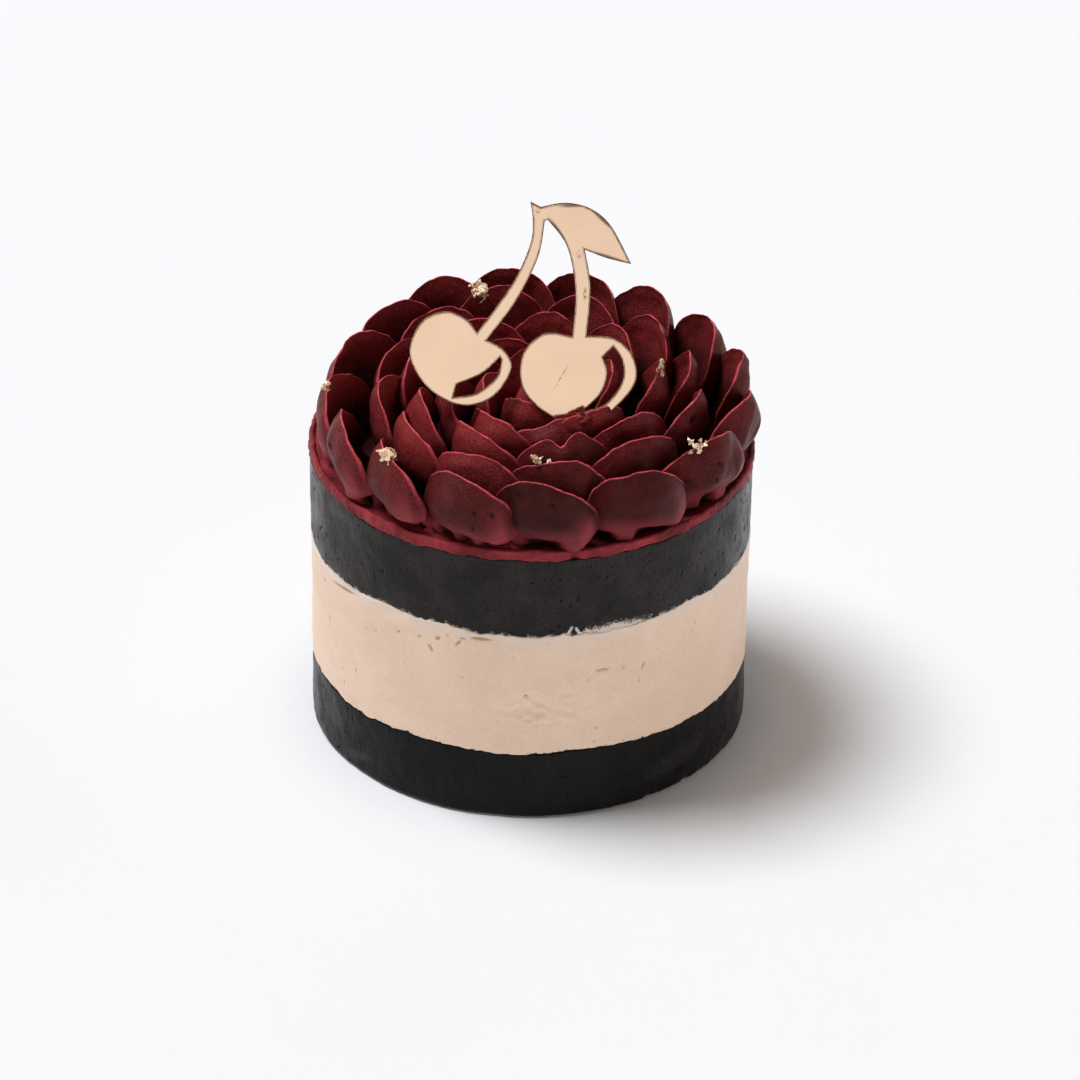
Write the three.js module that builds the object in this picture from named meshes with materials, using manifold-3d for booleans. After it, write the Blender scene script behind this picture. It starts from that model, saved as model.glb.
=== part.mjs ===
// A petite black forest cake: two dark sponge layers with a band of cream between them, a thin
// burgundy disc on top, a flower of piped burgundy petals with flakes of gold leaf, and a flat
// mirror topper cut as a pair of cherries. Millimetres, +Z up. The origin is the middle of the
// cake's underside, and -Y is its front, which the topper faces.

import * as THREE from "three";
import { mergeVertices } from "three/addons/utils/BufferGeometryUtils.js";
import Module from "manifold-3d";

const wasm = await Module();
wasm.setup();

// Driving dimensions of the layers

const CAKE_RADIUS = 51;
const BOTTOM_RADIUS = 51.4;
const BASE_TOP = 17.3;
const CREAM_TOP = 49.2;
const SPONGE_TOP = 69.0;
const DISC_TOP = 71.3;
const BOTTOM_EDGE_ROUND = 1.2;
const DISC_EDGE_ROUND = 0.8;
const ROUND_SIDES = 60;
const GAP = 0.3;

// Driving dimensions of the petals. Azimuths are in degrees from +X, counter-clockwise seen from
// above. Each ring is piped one petal after the other, so that a petal's counter-clockwise end
// lies outside the next petal's thin end: the twist turns it out by so many degrees.

const PETAL_SWEEP = THREE.MathUtils.degToRad(100);
const PETAL_SHOULDER = 5.5;
const PETAL_BODY = 6.0;
const PETAL_FOOT_SHARE = 0.55;
const PETAL_EDGE = 0.8;
const PETAL_ROUND_END = 3.6;
const PETAL_STATIONS = [-1, -0.84, -0.58, -0.25, 0.1, 0.42, 0.68, 0.88, 1];
const PETAL_LEVELS = [0, 0.3, 0.65, 1];

const RINGS = [
  {
    name: "outer", width: 24, height: 17.2, lean: 4.5, belly: 3.0, curl: 3.0, foot: 18,
    azimuths: [274, 300, 326, 349, 11, 33, 56, 76, 97, 117, 138, 161, 188, 209, 229, 253],
    radii: [46.3, 47, 45.7, 45, 44, 44, 44, 45, 46, 45, 41, 40, 42, 44.5, 44, 46.5],
    twists: [15, 16, 16, 10, 8, 17, 17, 20, 19, 23, 20, 30, 29, 22, 30, 17],
  },
  {
    name: "second", width: 24, height: 17.2, lean: 4.2, belly: 2.8, curl: 3.0, foot: 17,
    azimuths: [280, 311, 344, 13, 42, 71, 102, 129, 161, 191, 221, 252],
    radii: [37.5, 34.5, 34.3, 32.8, 33.8, 33.8, 36.8, 32.8, 29.3, 30.8, 32.3, 36.3],
    twists: [17, 14, 5, 16, 15, 17, 19, 24, 24, 22, 22, 10],
  },
  {
    name: "third", width: 22.5, height: 16.9, lean: 3.0, belly: 2.4, curl: 3.5, foot: 15,
    azimuths: [285, 322, 6, 47, 80, 117, 160, 204, 246],
    radii: [27.5, 27.5, 26.5, 26.5, 25, 25.5, 25.5, 25, 26.5],
    twists: [7, 22, 16, 15, 17, 17, 17, 15, 21],
  },
  {
    name: "fourth", width: 21, height: 15.2, lean: 2.2, belly: 2.0, curl: 4.0, foot: 13,
    azimuths: [242, 291, 322, 18, 72, 106, 150, 195],
    radii: [17.2, 17.5, 17, 17, 18.5, 18.3, 17.5, 17],
    twists: [21, 8, 22, 18, 20, 20, 20, 20],
  },
  {
    name: "inner", width: 17, height: 15.5, lean: 1.5, belly: 1.4, curl: 4.0, foot: 11,
    azimuths: [262, 350, 92, 178],
    radii: [9.5, 9, 11, 9],
    twists: [25, 25, 25, 25],
  },
  {
    name: "centre", width: 10.5, height: 14, lean: 0.6, belly: 0.6, curl: 3.0, foot: 8,
    azimuths: [60, 240],
    radii: [3, 3],
    twists: [25, 25],
  },
];

// Gold leaf: the ring and petal that each flake sits on, its place along the petal's edge from
// -1 to 1, and its size.

const FLAKE_THICKNESS = 0.45;
const FLAKES = [
  { ring: 1, petal: 6, along: 0.3, size: 4.6 },
  { ring: 0, petal: 12, along: 0.55, size: 3.4 },
  { ring: 0, petal: 14, along: 0.0, size: 4.4 },
  { ring: 1, petal: 0, along: 0.05, size: 3.6 },
  { ring: 2, petal: 2, along: -0.05, size: 3.2 },
  { ring: 0, petal: 2, along: -0.1, size: 4.6 },
];

// Driving dimensions of the topper. Its front face lies in a plane that leans back, and the
// outline is in that plane: x to the right, y up along the plate.

const TOPPER_THICKNESS = 1.2;
const TOPPER_LEAN = THREE.MathUtils.degToRad(21);
const TOPPER_PLACE = new THREE.Vector3(0, -14, 84);
const STAKE_END = -12.7;
const STAKE_LEFT = 7.4;
const STAKE_RIGHT = 12.6;
const CURVE_STEPS = 3;

const cakeColour = {
  sponge: new THREE.MeshStandardMaterial({ color: 0x2b2727, roughness: 0.75, metalness: 0 }),
  cream: new THREE.MeshStandardMaterial({ color: 0xe2cbb2, roughness: 0.6, metalness: 0 }),
  burgundy: new THREE.MeshStandardMaterial({ color: 0x5e1420, roughness: 0.5, metalness: 0 }),
  mirror: new THREE.MeshStandardMaterial({ color: 0xe8c8a0, roughness: 0.1, metalness: 1 }),
};

// A closed mesh with shared vertices becomes a solid that can be cut and joined.
function solidOf(geometry) {
  geometry.deleteAttribute("normal");
  geometry.deleteAttribute("uv");
  const merged = mergeVertices(geometry, 1e-4);
  return new wasm.Manifold(new wasm.Mesh({
    numProp: 3,
    vertProperties: new Float32Array(merged.attributes.position.array),
    triVerts: new Uint32Array(merged.index.array),
  }));
}

function geometryOf(solid) {
  const mesh = solid.getMesh();
  const geometry = new THREE.BufferGeometry();
  geometry.setAttribute("position", new THREE.BufferAttribute(mesh.vertProperties, 3));
  geometry.setIndex(new THREE.BufferAttribute(mesh.triVerts, 1));
  geometry.computeVertexNormals();
  return geometry;
}

// A cut may leave scraps: the largest body is the piece.
function largestBody(solid) {
  const bodies = solid.decompose();
  return bodies.reduce((best, body) => (body.volume() > best.volume() ? body : best));
}

function quarterArc(centreX, centreY, radius, fromAngle) {
  return [0, 0.5, 1].map((part) => {
    const angle = fromAngle + (part * Math.PI) / 2;
    return new THREE.Vector2(centreX + radius * Math.cos(angle), centreY + radius * Math.sin(angle));
  });
}

// A round layer, turned from its half section. The lower and upper edges may be rounded.
function layerGeometry(height, lowRadius, highRadius, lowRound, highRound) {
  const low = lowRound > 0
    ? quarterArc(lowRadius - lowRound, lowRound, lowRound, -Math.PI / 2)
    : [new THREE.Vector2(lowRadius, 0)];
  const high = highRound > 0
    ? quarterArc(highRadius - highRound, height - highRound, highRound, 0)
    : [new THREE.Vector2(highRadius, height)];
  const section = [new THREE.Vector2(0, 0), ...low, ...high, new THREE.Vector2(0, height)];
  return new THREE.LatheGeometry(section, ROUND_SIDES).rotateX(Math.PI / 2);
}

function layerMesh(name, material, bottom, top, lowRadius, highRadius, lowRound, highRound) {
  const geometry = layerGeometry(top - bottom, lowRadius, highRadius, lowRound, highRound);
  const mesh = new THREE.Mesh(geometry, material);
  mesh.name = name;
  mesh.position.z = bottom;
  return mesh;
}

// The point of a petal's middle surface, in the petal's own axes: x along its width, y outward,
// z up. These axes are left-handed, so faces are wound the other way round in them. "along" runs
// from the thin end (-1) to the round end (1), "up" from the foot (0) to the edge (1). The edge
// is part of an ellipse, the foot is a straight line, and between them the surface leans out,
// bellies and curls in towards both ends.
function petalPoint(ring, along, up) {
  const angle = PETAL_SWEEP * along;
  const edgeX = (ring.width / 2) * Math.sin(angle);
  const edgeZ = PETAL_SHOULDER + (ring.height - PETAL_SHOULDER) * Math.cos(angle);
  const x = THREE.MathUtils.lerp((ring.foot / 2) * along, edgeX, up);
  const z = edgeZ * up;
  const lean = (ring.lean * z) / ring.height;
  const belly = ring.belly * 4 * up * (1 - up) * Math.sqrt(edgeZ / ring.height);
  const curl = ring.curl * ((2 * x) / ring.width) ** 2;
  return new THREE.Vector3(x, lean + belly - curl, z);
}

// A petal is thick low down and thin at the edge, except near its round end. It draws in to its
// foot, and both ends are rounded off.
function petalThickness(along, up) {
  const edge = THREE.MathUtils.lerp(PETAL_EDGE, PETAL_ROUND_END, THREE.MathUtils.smoothstep(along, 0.3, 1));
  const thickness = THREE.MathUtils.lerp(edge, PETAL_BODY, (1 - up) ** 0.8);
  const foot = THREE.MathUtils.lerp(PETAL_FOOT_SHARE, 1, THREE.MathUtils.smoothstep(up, 0, 0.3));
  return thickness * foot * Math.sqrt(1 - 0.8 * Math.abs(along) ** 6);
}

function petalFrame(ring, index) {
  const azimuth = THREE.MathUtils.degToRad(ring.azimuths[index]);
  const twist = THREE.MathUtils.degToRad(ring.twists[index]);
  const outward = new THREE.Vector3(Math.cos(azimuth), Math.sin(azimuth), 0);
  const onward = new THREE.Vector3(-Math.sin(azimuth), Math.cos(azimuth), 0);
  const width = onward.clone().multiplyScalar(Math.cos(twist)).addScaledVector(outward, Math.sin(twist));
  const depth = outward.clone().multiplyScalar(Math.cos(twist)).addScaledVector(onward, -Math.sin(twist));
  const foot = outward.clone().multiplyScalar(ring.radii[index]);
  foot.z = DISC_TOP + GAP;
  return new THREE.Matrix4().makeBasis(width, depth, new THREE.Vector3(0, 0, 1)).setPosition(foot);
}

// A petal as a closed shell: an outer and an inner grid joined by strips along their borders.
// With grow above zero every side stands off by at least that much, to cut clearances in
// neighbours, and by more at the ends, where the surface runs steeply.
function petalSolid(ring, index, grow) {
  const frame = petalFrame(ring, index);
  const columns = PETAL_STATIONS.length;
  const rows = PETAL_LEVELS.length;
  const positions = [];
  for (const side of [1, -1]) {
    for (const along of PETAL_STATIONS) {
      for (const up of PETAL_LEVELS) {
        const point = petalPoint(ring, along, up);
        const half = petalThickness(along, up) / 2 + grow * (1.3 + along ** 2);
        const angle = PETAL_SWEEP * along;
        point.x += grow * Math.sin(angle);
        point.z += grow * (up > 0 ? Math.cos(angle) * up : -1);
        point.y += side * half;
        positions.push(...point.applyMatrix4(frame).toArray());
      }
    }
  }
  const at = (side, column, row) => (side * columns + column) * rows + row;
  const faces = [];
  const quad = (a, b, c, d) => faces.push(a, c, b, a, d, c);
  for (let c = 0; c < columns - 1; c += 1) {
    for (let r = 0; r < rows - 1; r += 1) {
      quad(at(0, c, r), at(0, c, r + 1), at(0, c + 1, r + 1), at(0, c + 1, r));
      quad(at(1, c, r), at(1, c + 1, r), at(1, c + 1, r + 1), at(1, c, r + 1));
    }
    quad(at(0, c, 0), at(0, c + 1, 0), at(1, c + 1, 0), at(1, c, 0));
    quad(at(0, c, rows - 1), at(1, c, rows - 1), at(1, c + 1, rows - 1), at(0, c + 1, rows - 1));
  }
  for (let r = 0; r < rows - 1; r += 1) {
    quad(at(0, 0, r), at(1, 0, r), at(1, 0, r + 1), at(0, 0, r + 1));
    quad(at(0, columns - 1, r), at(0, columns - 1, r + 1), at(1, columns - 1, r + 1), at(1, columns - 1, r));
  }
  const geometry = new THREE.BufferGeometry();
  geometry.setAttribute("position", new THREE.Float32BufferAttribute(positions, 3));
  geometry.setIndex(faces);
  return solidOf(geometry);
}

// A flake of gold leaf: a small crumpled sheet that stands on the petal's edge, partly sunk.
function flakeSolid(flake, number) {
  const ring = RINGS[flake.ring];
  const half = flake.size / 2;
  const sheet = new THREE.BoxGeometry(flake.size, FLAKE_THICKNESS, flake.size, 2, 1, 2);
  const place = sheet.attributes.position;
  for (let i = 0; i < place.count; i += 1) {
    const x = place.getX(i) / half;
    const z = place.getZ(i) / half;
    const crumple = 0.35 * Math.sin(2.3 * x + 1.7 * number) + 0.3 * Math.cos(2.9 * z - number);
    const ragged = 1 - 0.28 * Math.abs(x * z) * (1 + Math.sin(5 * number + 2 * x - z));
    place.setXYZ(i, x * half * ragged, place.getY(i) + crumple, z * half * ragged);
  }
  const seat = petalPoint(ring, flake.along, 1);
  sheet.rotateX(-0.35);
  sheet.translate(-seat.x, seat.y + 0.3, seat.z - 0.12 * flake.size);
  sheet.scale(-1, 1, 1);
  sheet.applyMatrix4(petalFrame(ring, flake.petal));
  return solidOf(sheet);
}

// The topper's outline: corners joined by smooth stretches, going round clockwise.
const topperOutline = {
  start: [-1.1, 49.5],
  notch: [[1.2, 48.3]],
  leafBack: [[6.9, 49.3], [12.6, 48.0], [17.2, 44.1], [21.8, 35.7]],
  leafUnder: [[16.2, 37.0], [11.3, 38.8]],
  rightStemOuter: [[12.8, 30.0], [12.1, 19.2]],
  rightCherryRight: [[18.2, 18.7], [22.5, 14.9], [23.3, 8.8], [18.4, 2.4], [STAKE_RIGHT, -1.4]],
  stakeRight: [[STAKE_RIGHT, STAKE_END]],
  stakeFoot: [[STAKE_LEFT, STAKE_END]],
  stakeLeft: [[STAKE_LEFT, -1.2]],
  rightCherryLeft: [[0.9, 3.0], [-2.7, 8.2], [-2.2, 15.2], [2.6, 19.6], [8.7, 19.0]],
  rightStemInner: [[9.3, 29.0], [7.4, 39.2], [2.9, 45.4]],
  stemsFork: [[2.2, 45.2]],
  leftStemInner: [[0.8, 37.0], [-4.0, 26.9], [-10.5, 17.9]],
  leftCherry: [
    [-6.6, 15.7], [-4.8, 11.4], [-9.0, 4.9], [-16.2, 2.9], [-23.8, 6.8],
    [-28.0, 14.4], [-25.6, 21.6], [-20.2, 24.3], [-15.4, 22.7], [-12.7, 19.7],
  ],
  leftStemOuter: [[-5.0, 30.7], [-1.1, 39.5], [-0.5, 45.0], [-1.1, 49.5]],
};

// Each slot is the bright crescent of a cherry, cut right through.
const topperSlots = [
  {
    start: [-7.5, 14.0],
    inner: [[-11.4, 10.3], [-17.2, 7.7]],
    end: [[-17.9, 4.8]],
    outer: [[-12.6, 5.8], [-8.2, 9.6], [-7.2, 13.6]],
  },
  {
    start: [18.1, 16.8],
    inner: [[15.8, 14.4]],
    end: [[16.9, 10.6], [15.4, 6.0], [11.6, 2.0]],
    outer: [[16.4, 3.6], [20.1, 8.6], [20.2, 13.4], [18.1, 16.8]],
  },
];

// Draws a path of smooth stretches that meet in corners.
function drawStretches(path, stretches) {
  const { start, ...rest } = stretches;
  path.moveTo(...start);
  for (const stretch of Object.values(rest)) {
    if (stretch.length === 1) path.lineTo(...stretch[0]);
    else path.splineThru(stretch.map(([x, y]) => new THREE.Vector2(x, y)));
  }
  return path;
}

function topperGeometry() {
  const shape = drawStretches(new THREE.Shape(), topperOutline);
  shape.holes = topperSlots.map((slot) => drawStretches(new THREE.Path(), slot));
  const geometry = new THREE.ExtrudeGeometry(shape, {
    depth: TOPPER_THICKNESS, bevelEnabled: false, curveSegments: CURVE_STEPS,
  });
  return geometry.translate(0, 0, -TOPPER_THICKNESS);
}

// The room that the petals leave round the plate: its outline without slots, grown by the gap.
function topperClearance(placed) {
  const geometry = new THREE.ExtrudeGeometry(drawStretches(new THREE.Shape(), topperOutline), {
    depth: TOPPER_THICKNESS, bevelEnabled: true, bevelThickness: 2 * GAP, bevelSize: GAP,
    bevelSegments: 1, curveSegments: CURVE_STEPS,
  });
  geometry.translate(0, 0, -TOPPER_THICKNESS);
  geometry.applyMatrix4(placed);
  return solidOf(geometry);
}

// The model

const cake = new THREE.Group();

const layers = new THREE.Group();
layers.add(
  layerMesh("base_sponge", cakeColour.sponge, 0, BASE_TOP, BOTTOM_RADIUS, CAKE_RADIUS, BOTTOM_EDGE_ROUND, 0),
  layerMesh("cream_layer", cakeColour.cream, BASE_TOP, CREAM_TOP, CAKE_RADIUS, CAKE_RADIUS, 0, 0),
  layerMesh("upper_sponge", cakeColour.sponge, CREAM_TOP, SPONGE_TOP, CAKE_RADIUS, CAKE_RADIUS, 0, 0),
  layerMesh("burgundy_disc", cakeColour.burgundy, SPONGE_TOP, DISC_TOP, CAKE_RADIUS, CAKE_RADIUS, 0, DISC_EDGE_ROUND),
);
cake.add(layers);

const topper = new THREE.Mesh(topperGeometry(), cakeColour.mirror);
topper.name = "cherry_topper";
topper.position.copy(TOPPER_PLACE);
topper.rotation.x = Math.PI / 2 - TOPPER_LEAN;
topper.updateMatrix();
cake.add(topper);

const clearance = topperClearance(topper.matrix);
const grown = RINGS.map((ring) => ring.azimuths.map((_, index) => petalSolid(ring, index, GAP)));

// What a petal has to stay clear of: the one piped before it in its ring, the petals of the rings
// outside its own, and the topper.
function clearOfNeighbours(solid, ringNumber, index) {
  const count = RINGS[ringNumber].azimuths.length;
  const before = grown[ringNumber][(index + count - 1) % count];
  let result = solid.subtract(before).subtract(clearance);
  for (const outside of grown.slice(0, ringNumber).flat()) result = result.subtract(outside);
  return result;
}

function flakeClearOfOthers(flake, number) {
  let result = flakeSolid(flake, number).subtract(clearance);
  grown.forEach((petals, ringNumber) => {
    petals.forEach((petal, index) => {
      if (ringNumber !== flake.ring || index !== flake.petal) result = result.subtract(petal);
    });
  });
  return result;
}

RINGS.forEach((ring, ringNumber) => {
  const group = new THREE.Group();
  ring.azimuths.forEach((_, index) => {
    let petal = largestBody(clearOfNeighbours(petalSolid(ring, index, 0), ringNumber, index));
    FLAKES.forEach((flake, number) => {
      if (flake.ring === ringNumber && flake.petal === index) {
        petal = largestBody(petal.add(flakeClearOfOthers(flake, number)));
      }
    });
    const mesh = new THREE.Mesh(geometryOf(petal), cakeColour.burgundy);
    mesh.name = `petal_${ring.name}_${String(index + 1).padStart(2, "0")}`;
    group.add(mesh);
  });
  cake.add(group);
});

export default cake;
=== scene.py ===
"""The looks of a petite black forest cake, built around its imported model.

Lengths are in millimetres in the model's own frame, with the origin in the middle of the cake's
underside and -Y its front. A mesh is scaled to metres when it is made. Azimuths are in degrees
from +X, counter-clockwise seen from above.
"""

import math

import bmesh
import bpy
import numpy as np
from mathutils import Matrix, Vector


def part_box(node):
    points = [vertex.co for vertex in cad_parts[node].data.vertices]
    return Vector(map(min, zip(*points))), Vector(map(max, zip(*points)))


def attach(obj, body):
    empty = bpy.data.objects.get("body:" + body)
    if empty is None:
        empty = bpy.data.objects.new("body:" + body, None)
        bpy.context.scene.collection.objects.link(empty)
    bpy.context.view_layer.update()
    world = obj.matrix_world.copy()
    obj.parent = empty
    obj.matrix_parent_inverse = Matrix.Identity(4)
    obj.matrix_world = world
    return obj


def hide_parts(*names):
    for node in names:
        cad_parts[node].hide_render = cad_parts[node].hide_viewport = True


MM = 0.001

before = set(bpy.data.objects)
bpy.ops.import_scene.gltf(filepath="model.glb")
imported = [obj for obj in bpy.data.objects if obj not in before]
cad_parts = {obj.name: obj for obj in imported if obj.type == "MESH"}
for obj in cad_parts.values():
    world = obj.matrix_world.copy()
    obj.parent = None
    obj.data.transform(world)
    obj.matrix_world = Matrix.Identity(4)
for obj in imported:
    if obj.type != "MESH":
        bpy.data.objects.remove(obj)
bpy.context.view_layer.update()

# Heights and radii of the layers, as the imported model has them, and where the petals' feet are

CAKE_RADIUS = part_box("cream_layer")[1].x / MM
BOTTOM_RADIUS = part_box("base_sponge")[1].x / MM
BASE_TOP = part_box("base_sponge")[1].z / MM
CREAM_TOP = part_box("cream_layer")[1].z / MM
SPONGE_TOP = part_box("upper_sponge")[1].z / MM
DISC_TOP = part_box("burgundy_disc")[1].z / MM
PETAL_FOOT = DISC_TOP + 0.3

# Driving dimensions of the petals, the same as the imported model's

PETAL_SWEEP = math.radians(100)
PETAL_SHOULDER = 5.5
PETAL_BODY = 6.0
PETAL_FOOT_SHARE = 0.55
PETAL_EDGE = 0.8
PETAL_ROUND_END = 3.6

# The rings of petals: how much painted light their outer and inner faces get, and the imported model's
# values
RINGS = {
    "outer": dict(
        outside=0.0, inside=0.42,
        width=24, height=17.2, lean=4.5, belly=3.0, curl=3.0, foot=18,
        azimuths=[274, 300, 326, 349, 11, 33, 56, 76, 97, 117, 138, 161, 188, 209, 229, 253],
        radii=[46.3, 47, 45.7, 45, 44, 44, 44, 45, 46, 45, 41, 40, 42, 44.5, 44, 46.5],
        twists=[15, 16, 16, 10, 8, 17, 17, 20, 19, 23, 20, 30, 29, 22, 30, 17],
    ),
    "second": dict(
        outside=0.12, inside=0.5,
        width=24, height=17.2, lean=4.2, belly=2.8, curl=3.0, foot=17,
        azimuths=[280, 311, 344, 13, 42, 71, 102, 129, 161, 191, 221, 252],
        radii=[37.5, 34.5, 34.3, 32.8, 33.8, 33.8, 36.8, 32.8, 29.3, 30.8, 32.3, 36.3],
        twists=[17, 14, 5, 16, 15, 17, 19, 24, 24, 22, 22, 10],
    ),
    "third": dict(
        outside=0.24, inside=0.62,
        width=22.5, height=16.9, lean=3.0, belly=2.4, curl=3.5, foot=15,
        azimuths=[285, 322, 6, 47, 80, 117, 160, 204, 246],
        radii=[27.5, 27.5, 26.5, 26.5, 25, 25.5, 25.5, 25, 26.5],
        twists=[7, 22, 16, 15, 17, 17, 17, 15, 21],
    ),
    "fourth": dict(
        outside=0.4, inside=0.75,
        width=21, height=15.2, lean=2.2, belly=2.0, curl=4.0, foot=13,
        azimuths=[242, 291, 322, 18, 72, 106, 150, 195],
        radii=[17.2, 17.5, 17, 17, 18.5, 18.3, 17.5, 17],
        twists=[21, 8, 22, 18, 20, 20, 20, 20],
    ),
    "inner": dict(
        outside=0.5, inside=0.85,
        width=17, height=15.5, lean=1.5, belly=1.4, curl=4.0, foot=11,
        azimuths=[262, 350, 92, 178],
        radii=[9.5, 9, 11, 9],
        twists=[25, 25, 25, 25],
    ),
    "centre": dict(
        outside=0.6, inside=0.9,
        width=10.5, height=14, lean=0.6, belly=0.6, curl=3.0, foot=8,
        azimuths=[60, 240],
        radii=[3, 3],
        twists=[25, 25],
    ),
}

# The topper's plate, in its own plane: x to the right, y up along the plate

TOPPER_THICKNESS = 1.2
TOPPER_LEAN = math.radians(21)
TOPPER_PLACE = (0, -14, 84)
TOPPER_BEVEL = 0.2
MIRROR_INSET = 0.36
MIRROR_RISE = 0.09
STAKE_END = -12.7
STAKE_LEFT = 7.4
STAKE_RIGHT = 12.6


# Shared shapes and noise


def waves(points, size, seed, count=22):
    """Smooth noise of unit spread: the sum of cosines of the distance along seeded directions,
    each about size millimetres from crest to crest, over the root of half their number."""
    rng = np.random.default_rng(seed)
    directions = rng.normal(size=(count, 3))
    directions /= np.linalg.norm(directions, axis=1, keepdims=True)
    directions *= 2 * np.pi / (size * rng.uniform(0.7, 1.5, (count, 1)))
    phases = rng.uniform(0, 2 * np.pi, count)
    total = np.zeros(points.shape[:-1])
    for direction, phase in zip(directions, phases):
        total += np.cos(points @ direction + phase)
    return total / math.sqrt(count / 2)


def smooth_step(value, low, high):
    """From 0 at low to 1 at high, as 3t^2 - 2t^3 of the share t of the way."""
    share = np.clip((value - low) / (high - low), 0, 1)
    return share * share * (3 - 2 * share)


def rounded(distance, radius):
    """The height of a quarter circle at a distance from its outer end, as a share of its radius."""
    share = 1 - np.clip(distance / np.maximum(radius, 1e-6), 0, 1)
    return np.sqrt(1 - share**2)


def grid_quads(at):
    """Quads between the neighbours in a grid of point numbers."""
    return np.stack([at[:-1, :-1], at[:-1, 1:], at[1:, 1:], at[1:, :-1]], axis=-1).reshape(-1, 4)


def closed_stack(rings, low_end, high_end):
    """The points, quads and triangles of rings of points that run round, counter-clockwise seen
    from above, and are stacked upwards, closed with a fan to a point at each end."""
    count, columns = rings.shape[:2]
    at = np.arange(count * columns).reshape(count, columns)
    following = np.roll(at, -1, axis=1)
    quads = np.stack([at[:-1], following[:-1], following[1:], at[1:]], axis=-1).reshape(-1, 4)
    low_fan = np.stack([np.full(columns, at.size), following[0], at[0]], axis=-1)
    high_fan = np.stack([np.full(columns, at.size + 1), at[-1], following[-1]], axis=-1)
    points = np.concatenate([rings.reshape(-1, 3), [low_end, high_end]])
    return points, quads, np.concatenate([low_fan, high_fan])


def make_piece(name, points, quads, triangles, materials, attributes=None, uv=None, smooth=True):
    """A mesh object from arrays of points in millimetres, quads and triangles. Attributes are
    numbers per point, and uv is a pair per point."""
    mesh = bpy.data.meshes.new(name)
    corners = np.concatenate([np.ravel(quads), np.ravel(triangles)]).astype(np.int32)
    sizes = np.concatenate([np.full(len(quads), 4), np.full(len(triangles), 3)]).astype(np.int32)
    starts = np.concatenate([[0], np.cumsum(sizes)[:-1]]).astype(np.int32)
    mesh.vertices.add(len(points))
    mesh.vertices.foreach_set("co", (np.asarray(points) * MM).astype(np.float32).ravel())
    mesh.loops.add(len(corners))
    mesh.loops.foreach_set("vertex_index", corners)
    mesh.polygons.add(len(sizes))
    mesh.polygons.foreach_set("loop_start", starts)
    mesh.polygons.foreach_set("loop_total", sizes)
    mesh.polygons.foreach_set("use_smooth", np.full(len(sizes), smooth))
    for label, values in (attributes or {}).items():
        layer = mesh.attributes.new(label, "FLOAT", "POINT")
        layer.data.foreach_set("value", np.ravel(values).astype(np.float32))
    if uv is not None:
        layer = mesh.uv_layers.new(name="UVMap")
        layer.data.foreach_set("uv", uv[corners].astype(np.float32).ravel())
    mesh.update(calc_edges=True)
    mesh.validate()
    for material in materials:
        mesh.materials.append(material)
    piece = bpy.data.objects.new(name, mesh)
    bpy.context.scene.collection.objects.link(piece)
    return piece


def stand_in(piece, slot, *nodes):
    """The piece rides with the cake and stands for these nodes, which it hides. The slot is not used."""
    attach(piece, "root")
    if nodes:
        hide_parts(*nodes)


# Colours, in linear light

SPONGE_SPECK = (0.004, 0.0034, 0.0032, 1)
# Painted shade in pinholes
SPONGE_HOLE_SHADE = (0.0012, 0.0011, 0.0011, 1)
CREAM_DARK = (0.78, 0.575, 0.43, 1)
CREAM_LIGHT = (0.84, 0.645, 0.50, 1)
CREAM_MOTTLE = (0.76, 0.56, 0.41, 1)
CREAM_FLECK = (0.88, 0.72, 0.60, 1)
CREAM_HAZE = (0.74, 0.64, 0.575, 1)
# Painted shade in pores and voids
CREAM_PORE_SHADE = (0.42, 0.31, 0.19, 1)
CREAM_VOID_SHADE = (0.46, 0.315, 0.14, 1)
CREAM_STAIN = (0.020, 0.017, 0.016, 1)
DISC_DARK = (0.125, 0.0115, 0.0155, 1)
DISC_LIGHT = (0.31, 0.035, 0.045, 1)
# Painted shade in pinholes
DISC_HOLE_SHADE = (0.05, 0.006, 0.008, 1)
# Painted shade
DISC_PAINTED_SHADE = (0.040, 0.0048, 0.0058, 1)
# The petal's shaded and lit colours, mixed by painted light
PETAL_DARK = (0.026, 0.0052, 0.0049, 1)
PETAL_LIT = (0.31, 0.032, 0.034, 1)
# Painted sheen
PETAL_PAINTED_SHEEN = (0.29, 0.044, 0.057, 1)
PETAL_STREAK = (0.46, 0.07, 0.07, 1)
# Painted shade
PETAL_PAINTED_SHADE = (0.0080, 0.0024, 0.0024, 1)
# Painted highlight
PETAL_RIM_HIGHLIGHT = (0.74, 0.095, 0.12, 1)
# Painted shade in pinholes
PETAL_PINHOLE_SHADE = (0.003, 0.0015, 0.0015, 1)
MIRROR_DARK = (0.86, 0.648, 0.478, 1)
MIRROR_LIGHT = (0.885, 0.678, 0.508, 1)
MIRROR_SPECK = (0.36, 0.19, 0.09, 1)
CUT_EDGE_DARK = (0.10, 0.034, 0.012, 1)
CUT_EDGE_LIGHT = (0.30, 0.115, 0.042, 1)
# Painted glint on the plate's arris
ARRIS_GLINT_DIM = (0.62, 0.38, 0.20, 1)
ARRIS_GLINT_BRIGHT = (1.0, 0.93, 0.80, 1)
BACK_DARK = (0.50, 0.41, 0.33, 1)
BACK_LIGHT = (0.57, 0.47, 0.38, 1)
# Painted shade in the leaf's folds
FOIL_FOLD_SHADE = (0.90, 0.55, 0.30, 1)
FOIL_LIGHT = (1.0, 0.90, 0.70, 1)
FLOOR_DARK = (0.925, 0.924, 0.93, 1)
FLOOR_LIGHT = (0.935, 0.935, 0.942, 1)


# Shader helpers


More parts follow.
